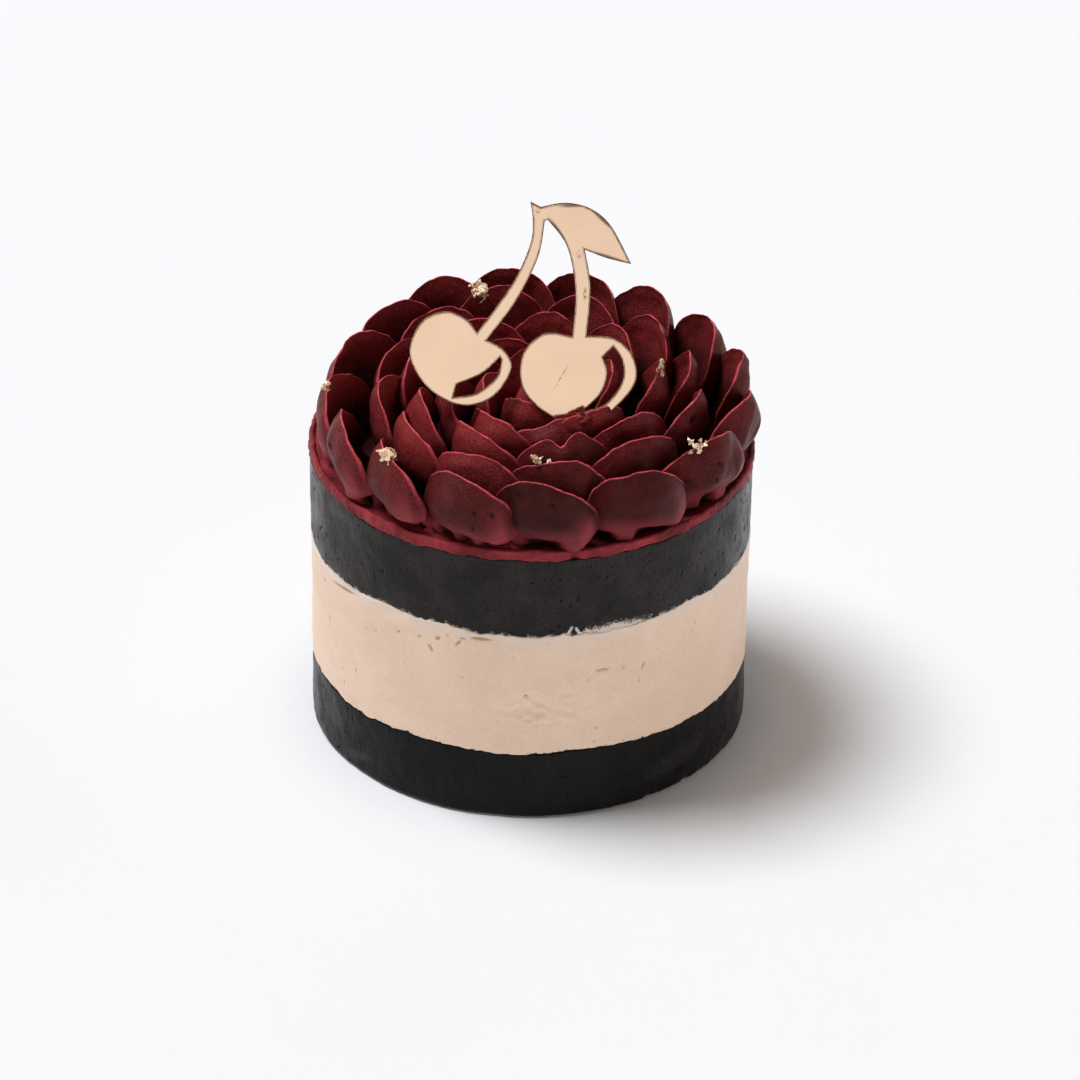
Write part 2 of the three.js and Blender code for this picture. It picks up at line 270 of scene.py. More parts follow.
def feed(tree, node, inputs):
    """Joins each of these inputs of a node to an output, or sets it to a value."""
    for key, value in inputs.items():
        if isinstance(value, bpy.types.NodeSocket):
            tree.links.new(value, node.inputs[key])
        else:
            node.inputs[key].default_value = value
    return node


def add_node(tree, kind, inputs=None, **settings):
    """A node with its settings and inputs."""
    node = tree.nodes.new(kind)
    for label, value in settings.items():
        setattr(node, label, value)
    return feed(tree, node, inputs or {})


def math_of(tree, operation, *values):
    """The result of one step of arithmetic."""
    return add_node(tree, "ShaderNodeMath", dict(enumerate(values)), operation=operation).outputs[0]


def added_up(tree, first, *others):
    """The sum of (value, weight) pairs."""
    total = math_of(tree, "MULTIPLY", *first)
    for value, weight in others:
        total = math_of(tree, "MULTIPLY_ADD", value, weight, total)
    return total


def ramp_of(tree, value, low, high, low_out=0.0, high_out=1.0):
    """A smooth change of a value from low to high into low_out to high_out."""
    inputs = {"Value": value, "From Min": low, "From Max": high, "To Min": low_out, "To Max": high_out}
    node = add_node(tree, "ShaderNodeMapRange", inputs, interpolation_type="SMOOTHSTEP")
    return node.outputs["Result"]


def mix_colour(tree, share, first, second):
    """The first colour with a share of the second."""
    return add_node(tree, "ShaderNodeMix", {0: share, 6: first, 7: second}, data_type="RGBA").outputs[2]


def layered(tree, colour, *layers):
    """A colour with (share, colour) layers laid over it, one after the other."""
    for share, over in layers:
        colour = mix_colour(tree, share, colour, over)
    return colour


def noise_of(tree, vector, scale, detail=3.0, roughness=0.5):
    """Smooth noise between 0 and 1, with scale bumps to a metre."""
    inputs = {"Vector": vector, "Scale": scale, "Detail": detail, "Roughness": roughness}
    return add_node(tree, "ShaderNodeTexNoise", inputs).outputs["Fac"]


def direction_share(tree, direction, towards):
    """How far a direction points another way: the product of the two."""
    inputs = {0: direction, 1: towards}
    return add_node(tree, "ShaderNodeVectorMath", inputs, operation="DOT_PRODUCT").outputs["Value"]


def stretched(tree, vector, scale):
    """A place with each of its axes scaled."""
    return add_node(tree, "ShaderNodeMapping", {"Vector": vector, "Scale": scale}).outputs["Vector"]


def attribute_of(tree, label):
    """The numbers that a mesh holds at its points under a label."""
    return add_node(tree, "ShaderNodeAttribute", attribute_name=label).outputs["Fac"]


def new_group(name, inputs, outputs):
    """An empty shader group with number and vector sockets, its start and its end."""
    tree = bpy.data.node_groups.new(name, "ShaderNodeTree")
    for label, kind, value in inputs:
        socket = tree.interface.new_socket(name=label, in_out="INPUT", socket_type=kind)
        if value is not None:
            socket.default_value = value
    for label in outputs:
        tree.interface.new_socket(name=label, in_out="OUTPUT", socket_type="NodeSocketFloat")
    return tree, tree.nodes.new("NodeGroupInput").outputs, tree.nodes.new("NodeGroupOutput")


SMALLEST_HOLE = 0.35


def make_pinholes_group():
    """Small round holes in some cells of a cellular pattern, from the smallest hole upwards by a
    random part of the hole size. Hole is 1 inside a hole, and Height is the relief, lower there."""
    tree, given, end = new_group(
        "pinholes",
        [
            ("Vector", "NodeSocketVector", None),
            ("Cells per metre", "NodeSocketFloat", 300.0),
            ("Hole size", "NodeSocketFloat", 0.1),
            ("Share of cells", "NodeSocketFloat", 0.4),
        ],
        ["Hole", "Height"],
    )
    cells = add_node(
        tree, "ShaderNodeTexVoronoi",
        {"Vector": given["Vector"], "Scale": given["Cells per metre"], "Randomness": 1.0},
    ).outputs
    chosen = add_node(tree, "ShaderNodeSeparateColor", {"Color": cells["Color"]}).outputs
    has_hole = math_of(tree, "LESS_THAN", chosen["Red"], given["Share of cells"])
    smallest = math_of(tree, "MULTIPLY", given["Hole size"], SMALLEST_HOLE)
    size = math_of(tree, "MULTIPLY_ADD", chosen["Green"], given["Hole size"], smallest)
    inside = ramp_of(tree, math_of(tree, "DIVIDE", cells["Distance"], size), 0.55, 1.1, 1.0, 0.0)
    hole = math_of(tree, "MULTIPLY", inside, has_hole)
    feed(tree, end, {"Hole": hole, "Height": math_of(tree, "SUBTRACT", 1.0, hole)})
    return tree


def make_grain_group():
    """Fine uneven grain: two sizes of noise added up. Height is the relief and Patches is a third
    and slower noise, a change from place to place."""
    tree, given, end = new_group(
        "fine_grain",
        [("Vector", "NodeSocketVector", None), ("Grains per metre", "NodeSocketFloat", 2500.0)],
        ["Height", "Patches"],
    )
    scale = given["Grains per metre"]
    fine = noise_of(tree, given["Vector"], scale, 2.0, 0.6)
    middle = noise_of(tree, given["Vector"], math_of(tree, "MULTIPLY", scale, 0.35), 2.0, 0.5)
    slow = noise_of(tree, given["Vector"], math_of(tree, "MULTIPLY", scale, 0.06), 3.0, 0.55)
    relief = added_up(tree, (fine, 0.6), (middle, 0.8))
    feed(tree, end, {"Height": relief, "Patches": ramp_of(tree, slow, 0.3, 0.7)})
    return tree


pinholes_group = make_pinholes_group()
grain_group = make_grain_group()


def pinholes_of(tree, place, cells, size, share):
    """Hole and Height of pinholes in a share of so many cells to a metre."""
    inputs = {"Vector": place, "Cells per metre": cells, "Hole size": size, "Share of cells": share}
    return add_node(tree, "ShaderNodeGroup", inputs, node_tree=pinholes_group).outputs


def grain_of(tree, place, grains):
    """Height and Patches of a grain of so many grains to a metre."""
    node = add_node(
        tree, "ShaderNodeGroup", {"Vector": place, "Grains per metre": grains}, node_tree=grain_group
    )
    return node.outputs


def new_material(name, **constants):
    """A material, its node tree, its shader with these constant values, and Object coordinates."""
    material = bpy.data.materials.new(name)
    material.use_nodes = True
    tree = material.node_tree
    shader = tree.nodes["Principled BSDF"]
    feed(tree, shader, {key.replace("_", " "): value for key, value in constants.items()})
    return material, tree, shader, tree.nodes.new("ShaderNodeTexCoord").outputs["Object"]


def add_bump(tree, shader, height, distance, strength=1.0):
    """Relief: the height times so many millimetres."""
    bump = add_node(
        tree, "ShaderNodeBump", {"Height": height, "Distance": distance * MM, "Strength": strength}
    )
    feed(tree, shader, {"Normal": bump.outputs["Normal"]})


# Materials


def make_sponge_material(name, dark, light, smear_and_sheen_colour, specular):
    """Nearly black, satin and set smooth, with two sizes of pinholes painted dark as the shade in
    them, darker specks, faint drag marks and pale smears that break up into specks where they
    thin out; on the base the pale marks are partly a painted sheen."""
    material, tree, shader, place = new_material(name, Specular_IOR_Level=specular)
    grain = grain_of(tree, place, 1900.0)
    fine_holes = pinholes_of(tree, place, cells=900.0, size=0.24, share=0.45)
    holes = pinholes_of(tree, place, cells=480.0, size=0.17, share=0.45)
    drags = noise_of(tree, stretched(tree, place, (1.0, 1.0, 0.22)), 900.0, 3.0, 0.6)
    specks = noise_of(tree, place, 2600.0, 2.0, 0.7)
    # Pale smears, on the base partly a painted sheen
    smear_and_sheen = attribute_of(tree, "smear_and_sheen")
    broken = ramp_of(tree, math_of(tree, "MULTIPLY_ADD", specks, 1.1, smear_and_sheen), 0.68, 1.15, 0.0, 0.95)
    has_smear_and_sheen = ramp_of(tree, smear_and_sheen, 0.02, 0.16)
    colour = layered(
        tree, mix_colour(tree, grain["Patches"], dark, light),
        (ramp_of(tree, specks, 0.58, 0.40, 0.0, 0.55), SPONGE_SPECK),
        # Pinholes painted dark, as the shade in them
        (math_of(tree, "MAXIMUM", holes["Hole"], fine_holes["Hole"]), SPONGE_HOLE_SHADE),
        (math_of(tree, "MULTIPLY", broken, has_smear_and_sheen), smear_and_sheen_colour),
    )
    rough = ramp_of(tree, noise_of(tree, place, 160.0, 4.0, 0.6), 0.35, 0.7, 0.27, 0.44)
    feed(tree, shader, {"Base Color": colour, "Roughness": rough})
    relief = added_up(
        tree, (grain["Height"], 0.5), (drags, 0.5), (holes["Height"], 1.6), (fine_holes["Height"], 1.0)
    )
    add_bump(tree, shader, relief, 0.17)
    return material


def make_cream_material():
    """Warm pale cream, satin, with slow changes of tone, pale flecks, a greyer haze along its top,
    fine pores and yellowish voids painted darker as the shade in them, and dark stains along its
    seams."""
    material, tree, shader, place = new_material(
        "set_cream", Roughness=0.5, Specular_IOR_Level=0.35, Subsurface_Weight=0.12,
        Subsurface_Radius=(1.6 * MM, 1.0 * MM, 0.7 * MM), Subsurface_Scale=1.0,
    )
    grain = grain_of(tree, place, 1500.0)
    holes = pinholes_of(tree, place, cells=330.0, size=0.11, share=0.16)
    tone = ramp_of(tree, noise_of(tree, place, 60.0, 3.0, 0.6), 0.3, 0.7)
    fleck = ramp_of(tree, noise_of(tree, place, 1300.0, 3.0, 0.65), 0.45, 0.75, 0.0, 0.5)
    grains = noise_of(tree, place, 2300.0, 2.0, 0.7)
    stain = math_of(tree, "MULTIPLY_ADD", grains, 1.3, attribute_of(tree, "stain"))
    colour = layered(
        tree, mix_colour(tree, tone, CREAM_DARK, CREAM_LIGHT),
        (math_of(tree, "MULTIPLY", grain["Patches"], 0.35), CREAM_MOTTLE),
        (fleck, CREAM_FLECK),
        (attribute_of(tree, "haze"), CREAM_HAZE),
        # Pores and voids painted darker, as the shade in them
        (math_of(tree, "MULTIPLY", holes["Hole"], 0.45), CREAM_PORE_SHADE),
        (attribute_of(tree, "void"), CREAM_VOID_SHADE),
        (ramp_of(tree, stain, 1.0, 1.35), CREAM_STAIN),
    )
    feed(tree, shader, {"Base Color": colour})
    swirl = noise_of(tree, stretched(tree, place, (1.0, 1.0, 2.2)), 420.0, 4.0, 0.65)
    relief = added_up(tree, (grain["Height"], 0.3), (swirl, 0.6), (holes["Height"], 1.0))
    add_bump(tree, shader, relief, 0.13, 0.85)
    return material


def make_disc_material():
    """The thin burgundy disc: brighter than the petals, matt, with a coarse broken grain, and a
    painted shade of deep red where the petals stand over it."""
    material, tree, shader, place = new_material(
        "burgundy_disc_matt", Roughness=0.5, Specular_IOR_Level=0.1
    )
    grain = grain_of(tree, place, 1700.0)
    holes = pinholes_of(tree, place, cells=420.0, size=0.13, share=0.25)
    colour = layered(
        tree, mix_colour(tree, grain["Patches"], DISC_DARK, DISC_LIGHT),
        # Pinholes painted dark as the shade in them, and painted shade where the petals stand over the disc
        (holes["Hole"], DISC_HOLE_SHADE), (attribute_of(tree, "deep"), DISC_PAINTED_SHADE),
    )
    feed(tree, shader, {"Base Color": colour})
    add_bump(tree, shader, math_of(tree, "ADD", grain["Height"], holes["Height"]), 0.2)
    return material


def make_petal_material():
    """Dark burgundy, satin. Painted light makes it a warmer red where a petal is thin or turned to
    the light. A painted sheen makes it pinker where it is thick or low, a painted highlight makes it
    bright along its thin rim, and painted shade darkens it low in its crevices. It has a fine grain,
    faint lines that run along with the rim and a pinhole here and there, painted dark as the shade
    in it. The UV map holds the place along the petal and the distance from the rim, in decimetres."""
    material, tree, shader, place = new_material("burgundy_petal", Specular_IOR_Level=0.08)
    sheet = place.node.outputs["UV"]
    grain = grain_of(tree, place, 3200.0)
    holes = pinholes_of(tree, place, cells=150.0, size=0.04, share=0.1)
    # Painted light held by the mesh: it sets the tone with a little random patchiness, and a granular
    # painted sparkle and the faint lines show only as far as it reaches
    painted_light = attribute_of(tree, "painted_light")
    sparkle = ramp_of(tree, noise_of(tree, place, 2500.0, 3.0, 0.75), 0.42, 0.66, -0.5, 1.15)
    tone = added_up(tree, (grain["Patches"], 0.10), (painted_light, 1.0), (sparkle, painted_light))
    lines = noise_of(tree, stretched(tree, sheet, (14.0, 420.0, 1.0)), 1.0, 3.0, 0.6)
    streak = math_of(tree, "MULTIPLY", ramp_of(tree, lines, 0.52, 0.72, 0.0, 0.45), painted_light)
    dotted = ramp_of(tree, noise_of(tree, place, 1500.0, 2.0, 0.6), 0.3, 0.6, 0.45, 1.0)
    colour = layered(
        # The shaded and the lit colour of the petal, mixed by the painted light
        tree, mix_colour(tree, tone, PETAL_DARK, PETAL_LIT),
        # A painted sheen, pinker, on the low bellies and round ends
        (attribute_of(tree, "painted_sheen"), PETAL_PAINTED_SHEEN),
        (streak, PETAL_STREAK),
        # Painted shade low down in the crevices between the petals
        (attribute_of(tree, "deep"), PETAL_PAINTED_SHADE),
        # A painted highlight along the thin rim, broken into dots
        (math_of(tree, "MULTIPLY", attribute_of(tree, "rim"), dotted), PETAL_RIM_HIGHLIGHT),
        # Pinholes painted dark, as the shade in them
        (math_of(tree, "MAXIMUM", holes["Hole"], attribute_of(tree, "pinhole")), PETAL_PINHOLE_SHADE),
    )
    rough = ramp_of(tree, noise_of(tree, place, 220.0, 3.0, 0.6), 0.35, 0.7, 0.34, 0.48)
    feed(tree, shader, {"Base Color": colour, "Roughness": rough})
    relief = added_up(tree, (grain["Height"], 0.7), (lines, 0.8), (holes["Height"], 2.0))
    add_bump(tree, shader, relief, 0.13)
    return material


# Marks on the plate: the middle, the turn from upright in degrees, half width and height, colour
PLATE_MARKS = [
    ((6.4, -10.5, 93.1), -31, 0.42, 4.4, (0.66, 0.27, 0.19, 1)),
    ((11.5, -3.8, 110.6), 0, 0.8, 2.3, (0.22, 0.10, 0.05, 1)),
    ((10.0, -0.5, 119.1), 0, 1.0, 1.4, (0.50, 0.28, 0.16, 1)),
    ((0.6, 3.0, 128.3), 0, 0.9, 0.8, (0.30, 0.15, 0.08, 1)),
]
# Shades along the leaf's rim: the middle in the plate's plane, the turn, half width and height
LEAF_SHADES = [
    ((15.3, 45.9), 50, 0.85, 4.6),
    ((19.6, 40.6), 29, 0.75, 5.4),
    ((9.0, 49.0), 95, 0.75, 4.8),
    ((16.6, 37.0), 74, 0.9, 6.4),
    ((5.3, 42.7), 36, 0.85, 5.0),
]
SHADE_COLOUR = (0.085, 0.032, 0.014, 1)
MARK_DEPTH = 4.0


def near_mark(tree, place, at, turn, wide, tall):
    """How far a place is from the middle of a mark, as a share of the mark's half sizes, and the
    place from there, turned about Y with the mark."""
    away = [-length * MM for length in at]
    moved = add_node(tree, "ShaderNodeMapping", {"Vector": place, "Location": away}).outputs["Vector"]
    rotation = {"Vector": moved, "Angle": math.radians(turn)}
    turned = add_node(tree, "ShaderNodeVectorRotate", rotation, rotation_type="Y_AXIS").outputs["Vector"]
    sized = stretched(tree, turned, [1 / (length * MM) for length in (wide, MARK_DEPTH, tall)])
    length = add_node(tree, "ShaderNodeVectorMath", {0: sized}, operation="LENGTH").outputs["Value"]
    return length, turned


def shade_leaf(tree, place, colour):
    """Darkens the plate's front towards the leaf's rim."""
    for (x, y), turn, wide, tall in LEAF_SHADES:
        at = (x, TOPPER_PLACE[1] + y * math.sin(TOPPER_LEAN), TOPPER_PLACE[2] + y * math.cos(TOPPER_LEAN))
        length, _ = near_mark(tree, place, at, turn, wide, tall)
        colour = mix_colour(tree, ramp_of(tree, length, 0.35, 1.0, 0.75, 0.0), colour, SHADE_COLOUR)
    return colour


def make_mirror_material():
    """The topper's front: a pale gold mirror with a very slight ripple, a few specks, and marks
    that break up into grains."""
    material, tree, shader, place = new_material("pale_gold_mirror", Metallic=1.0)
    specks = pinholes_of(tree, place, cells=260.0, size=0.09, share=0.08)
    cloud = ramp_of(tree, noise_of(tree, place, 45.0, 3.0, 0.6), 0.3, 0.7)
    colour = mix_colour(tree, cloud, MIRROR_DARK, MIRROR_LIGHT)
    colour = mix_colour(tree, specks["Hole"], colour, MIRROR_SPECK)
    for at, turn, wide, tall, tint in PLATE_MARKS:
        length, turned = near_mark(tree, place, at, turn, wide, tall)
        grains = noise_of(tree, stretched(tree, turned, (1.0, 1.0, 0.25)), 1900.0, 3.0, 0.7)
        near = ramp_of(tree, length, 0.1, 1.0, 1.0, 0.0)
        mark = math_of(tree, "MULTIPLY", near, ramp_of(tree, grains, 0.42, 0.62))
        colour = mix_colour(tree, mark, colour, tint)
    rough = ramp_of(tree, noise_of(tree, place, 120.0, 4.0, 0.6), 0.3, 0.7, 0.10, 0.16)
    feed(tree, shader, {"Base Color": shade_leaf(tree, place, colour), "Roughness": rough})
    add_bump(tree, shader, noise_of(tree, place, 40.0, 1.0), 0.05, 0.5)
    return material


def make_cut_edge_material():
    """The plate's sawn edge: dark amber brown, half glossy, with fine marks across it."""
    material, tree, shader, place = new_material("plate_cut_edge", Roughness=0.5, Specular_IOR_Level=0.03)
    marks = noise_of(tree, stretched(tree, place, (1.0, 0.15, 1.0)), 2400.0, 2.0, 0.5)
    colour = mix_colour(tree, ramp_of(tree, marks, 0.35, 0.7), CUT_EDGE_DARK, CUT_EDGE_LIGHT)
    feed(tree, shader, {"Base Color": colour})
    add_bump(tree, shader, marks, 0.05, 0.5)
    return material


def make_arris_glint_material():
    """The polished arris just inside the plate's edge: a pale bright gold line, a painted glint."""
    material, tree, shader, place = new_material("plate_arris_painted_glint", Metallic=0.35, Roughness=0.4)
    marks = noise_of(tree, place, 700.0, 3.0, 0.6)
    # A pale bright line: a painted glint
    colour = mix_colour(tree, ramp_of(tree, marks, 0.35, 0.65), ARRIS_GLINT_DIM, ARRIS_GLINT_BRIGHT)
    feed(tree, shader, {"Base Color": shade_leaf(tree, place, colour)})
    return material


def make_plate_back_material():
    """The plate's back: a warm grey coat with a fine grain."""
    material, tree, shader, place = new_material("plate_back_coat", Roughness=0.45)
    grain = grain_of(tree, place, 2600.0)
    feed(tree, shader, {"Base Color": mix_colour(tree, grain["Patches"], BACK_DARK, BACK_LIGHT)})
    add_bump(tree, shader, grain["Height"], 0.03, 0.5)
    return material


def make_gold_leaf_material():
    """Gold leaf: bright metal, crinkled, with painted shade, darker and redder, in its folds."""
    material, tree, shader, place = new_material("gold_leaf_foil", Metallic=0.65)
    crinkle = noise_of(tree, place, 1500.0, 4.0, 0.65)
    # Painted shade, darker and redder, where the crinkle is low, in the folds
    colour = mix_colour(tree, ramp_of(tree, crinkle, 0.32, 0.62), FOIL_FOLD_SHADE, FOIL_LIGHT)
    rough = ramp_of(tree, noise_of(tree, place, 900.0), 0.3, 0.7, 0.3, 0.5)
    feed(tree, shader, {"Base Color": colour, "Roughness": rough})
    add_bump(tree, shader, crinkle, 0.3)
    return material


def make_floor_material():
    """A plain pale floor with hardly any change of tone."""
    material, tree, shader, place = new_material("pale_floor", Roughness=0.9, Specular_IOR_Level=0.1)
    cloud = ramp_of(tree, noise_of(tree, place, 6.0, 2.0), 0.3, 0.7)
    feed(tree, shader, {"Base Color": mix_colour(tree, cloud, FLOOR_DARK, FLOOR_LIGHT)})
    return material


# The base's pale marks are partly a painted sheen
base_sponge_material = make_sponge_material(
    "base_sponge_dark", dark=(0.0056, 0.0052, 0.0051, 1), light=(0.0102, 0.0092, 0.0090, 1),
    smear_and_sheen_colour=(0.030, 0.029, 0.029, 1), specular=0.10,
)
upper_sponge_material = make_sponge_material(
    "upper_sponge_dark", dark=(0.0125, 0.0100, 0.0095, 1), light=(0.031, 0.0245, 0.0232, 1),
    smear_and_sheen_colour=(0.70, 0.60, 0.53, 1), specular=0.14,
)
cream_material = make_cream_material()
disc_material = make_disc_material()
petal_material = make_petal_material()
mirror_material = make_mirror_material()
cut_edge_material = make_cut_edge_material()
arris_glint_material = make_arris_glint_material()
plate_back_material = make_plate_back_material()
gold_leaf_material = make_gold_leaf_material()
floor_material = make_floor_material()


# The layers

LAYER_COLUMNS = 960
CAP_SHARES = [0.05, 0.35, 0.65, 0.88, 0.97]

layer_azimuth = np.linspace(0, 2 * np.pi, LAYER_COLUMNS, endpoint=False)


def side_points(radius, height):
    """Points round the cake, a column to each azimuth, from arrays of their radius and height."""
    return np.stack([radius * np.cos(layer_azimuth), radius * np.sin(layer_azimuth), height], axis=-1)


def rim_points(height):
    """Points round the cake at one height, for noise that closes on itself."""
    return side_points(CAKE_RADIUS, np.full(LAYER_COLUMNS, height))


def along_side(turn):
    """Millimetres along the cake's side for a turn in radians, the short way round."""
    return np.angle(np.exp(1j * turn)) * CAKE_RADIUS


def apart_of(degrees):
    """Millimetres along the cake's side from an azimuth to each column."""
    return along_side(layer_azimuth - math.radians(degrees))


def bell(value, middle, width):
    """1 in the middle, falling as a bell over the width to each side."""
    return np.exp(-(((value - middle) / width) ** 2))


def near_azimuth(degrees, width):
    """A bell round an azimuth over so many millimetres of the side."""
    return bell(apart_of(degrees), 0, width)


def noise_relief(points, seed, *sizes):
    """The sum of noises with a height and a length each, seeded one after the other."""
    return sum(height * waves(points, length, seed + i) for i, (height, length) in enumerate(sizes))


def seam(height, seed, slow, middle, fine):
    """The height of the line between two layers round the cake: a level with slow, middling and
    ragged waves on it."""
    points = rim_points(height)
    return (
        height
        + slow * waves(points, 40, seed)
        + middle * waves(points, 7, seed + 1)
        + fine * waves(points, 1.8, seed + 2, 40)
    )


# Where cream has been torn up into the sponge at the front, and where the sponge dips
TEAR_AZIMUTH = 281.2
DIP_AZIMUTH = 257
# Where the cream is drawn thinly up over the sponge, to the right of the tear
HAZE_AZIMUTH = 292

base_seam = seam(BASE_TOP, 11, 0.22, 0.12, 0.06)
cream_seam = (
    seam(CREAM_TOP, 21, 0.22, 0.16, 0.10)
    + 0.5 * near_azimuth(TEAR_AZIMUTH - 2.6, 0.5)
    + 0.4 * near_azimuth(TEAR_AZIMUTH + 3.2, 0.8)
    - 0.5 * near_azimuth(DIP_AZIMUTH, 2.2)
)
sponge_seam = seam(SPONGE_TOP, 31, 0.10, 0.08, 0.06)


def side_rows(count):
    """Steps from 0 to 1 that crowd towards both ends: half even, half as a half cosine wave."""
    even = np.linspace(0, 1, count)
    return 0.5 * even + 0.25 * (1 - np.cos(np.pi * even))


def layer_side(low, high, low_radius, high_radius, low_round, high_round, rows):
    """The side of a layer between two seams, with its edges rounded as quarter circles: radius and
    height arrays and the points on them."""
    share = side_rows(rows)[:, None]
    height = low + (high - low) * share
    radius = low_radius + (high_radius - low_radius) * share + np.zeros_like(height)
    radius -= low_round * (1 - rounded(height - low, low_round))
    radius -= high_round * (1 - rounded(high - height, high_round))
    return radius, height, side_points(radius, height)


# The columns that a pit may reach to each side of its own
PIT_WINDOW = np.arange(-9, 10)


def pits(height, low, high, count, size, depth, seed, tall=1.0):
    """Round hollows in a side: the sum of flat-bottomed bells of depth millimetres, seeded in
    place, size and depth, each over a window of the side. Tall stretches them upwards."""
    rng = np.random.default_rng(seed)
    total = np.zeros(height.shape)
    for _ in range(count):
        middle = rng.integers(LAYER_COLUMNS)
        level = rng.uniform(low, high)
        wide = rng.uniform(*size)
        deep = rng.uniform(*depth)
        window = (middle + PIT_WINDOW) % LAYER_COLUMNS
        across = along_side(layer_azimuth[window] - layer_azimuth[middle])[None, :]
        upwards = (height[:, window] - level) / tall
        total[:, window] += deep * np.exp(-((across**2 + upwards**2) / wide**2) ** 2)
    return total


def single_mark(height, azimuth, level, wide, tall, tilt):
    """One flat-topped bell of unit height on a side, wide by tall, turned by tilt degrees."""
    apart = apart_of(azimuth)
    upwards = height - level
    turn = math.radians(tilt)
    across = (apart * math.cos(turn) + upwards * math.sin(turn)) / wide
    along = (upwards * math.cos(turn) - apart * math.sin(turn)) / tall
    return np.exp(-((across**2 + along**2) ** 2))


def flat_end(radius, height, level):
    """The rings of a flat end, from the middle outwards: they rise from a level to a side's edge
    as the sixth power of their share of its radius."""
    rings = [radius * share for share in CAP_SHARES]
    levels = [level + (height - level) * share**6 for share in CAP_SHARES]
    return rings, levels


def make_layer(name, node, slot, material, radius, height, low_level, high_level, masks):
    """A layer in place of its node: a closed body of revolution with relief, from the radius and
    height arrays of its side, one row a ring from the lowest up. Its underside goes in to a level,
    and so does its top, unless its rows go on to the middle. Masks are numbers on the side."""
    low_rings, low_levels = flat_end(radius[0], height[0], low_level)
    rings, levels = [low_rings, radius], [low_levels, height]
    if high_level is not None:
        high_rings, high_levels = flat_end(radius[-1], height[-1], high_level)
        rings.append(high_rings[::-1])
        levels.append(high_levels[::-1])
    radius, height = np.concatenate(rings), np.concatenate(levels)
    before = len(CAP_SHARES) * LAYER_COLUMNS
    padded = {
        label: np.pad(np.ravel(mask), (before, radius.size + 2 - before - mask.size))
        for label, mask in masks.items()
    }
    points, quads, triangles = closed_stack(
        side_points(radius, height), [0, 0, height[0].mean()], [0, 0, height[-1].mean()]
    )
    stand_in(make_piece(name, points, quads, triangles, [material], padded), slot, node)


# Pale marks on the base, the one at 312 degrees a painted sheen along its edge: azimuth, height, half width,
# half height, turn, strength
BASE_MARKS = [
    (208, 10, 5, 2.6, 0, 0.75),
    (219, 4, 6, 1.6, 20, 0.5),
    (312, 8, 13, 3.6, 10, 0.34),
    (40, 9, 11, 3.0, 0, 0.25),
    (120, 11, 9, 2.6, -15, 0.25),
]
CHIPS_AZIMUTH = 315


def make_base_sponge():
    """The lowest layer: noise and pits on its side, and its lowest edge rounded, and chipped by
    clipped noise on the right."""
    radius, height, points = layer_side(
        np.zeros(LAYER_COLUMNS), base_seam, BOTTOM_RADIUS - 0.25, CAKE_RADIUS - 0.1, 1.3, 0.3, 44
    )
    radius += noise_relief(points, 41, (0.10, 22), (0.03, 5), (0.010, 1.5))
    radius -= pits(height, 2, 16.5, 150, (0.2, 0.4), (0.15, 0.45), 44)
    chipped = near_azimuth(CHIPS_AZIMUTH, 16)
    chips = np.clip(waves(rim_points(0), 5.5, 45, 30) - 0.1, 0, 2)
    radius -= chipped * chips * 0.6 * (1 - smooth_step(height, 0.2, 2.8))
    radius -= chipped * 0.5 * (1 - smooth_step(height, 0, 5))
    # Lighter marks, the one at 312 degrees a painted sheen
    smear_and_sheen = sum(strength * single_mark(height, *mark) for *mark, strength in BASE_MARKS)
    make_layer(
        "set_base_sponge", "base_sponge", "sponge", base_sponge_material,
        radius, height, 0, BASE_TOP, {"smear_and_sheen": smear_and_sheen},
    )


# Voids in the cream: azimuth, height, half width, half height, and the turn of its long side
CREAM_VOIDS = [
    (244.3, 42.6, 1.05, 0.32, -55),
    (251.8, 45.6, 0.95, 0.30, 55),
    (253.0, 47.0, 0.75, 0.22, -10),
    (257.8, 47.6, 2.4, 0.42, 2),
    (246.3, 45.7, 0.55, 0.5, 20),
    (234.5, 44.0, 0.4, 0.2, -30),
    (241.1, 44.8, 0.35, 0.2, -30),
    (205.8, 35.2, 0.6, 0.25, -50),
    (213.5, 46.9, 4.6, 0.42, 9),
    (289.1, 38.9, 1.5, 0.26, 3),
    (300.6, 37.4, 0.8, 0.24, 65),
    (269.4, 33.1, 0.6, 0.24, -25),
    (203.0, 44.0, 0.3, 0.5, 20),
    (120.0, 46.5, 1.1, 0.35, 10),
    (75.0, 44.0, 0.8, 0.3, -20),
    (20.0, 47.0, 0.9, 0.3, 30),
]
VOID_DEPTH = 0.32
# A patch of the cream's front that was stirred while it set
SWIRL_AZIMUTH = 273
SWIRL_HEIGHT = 29


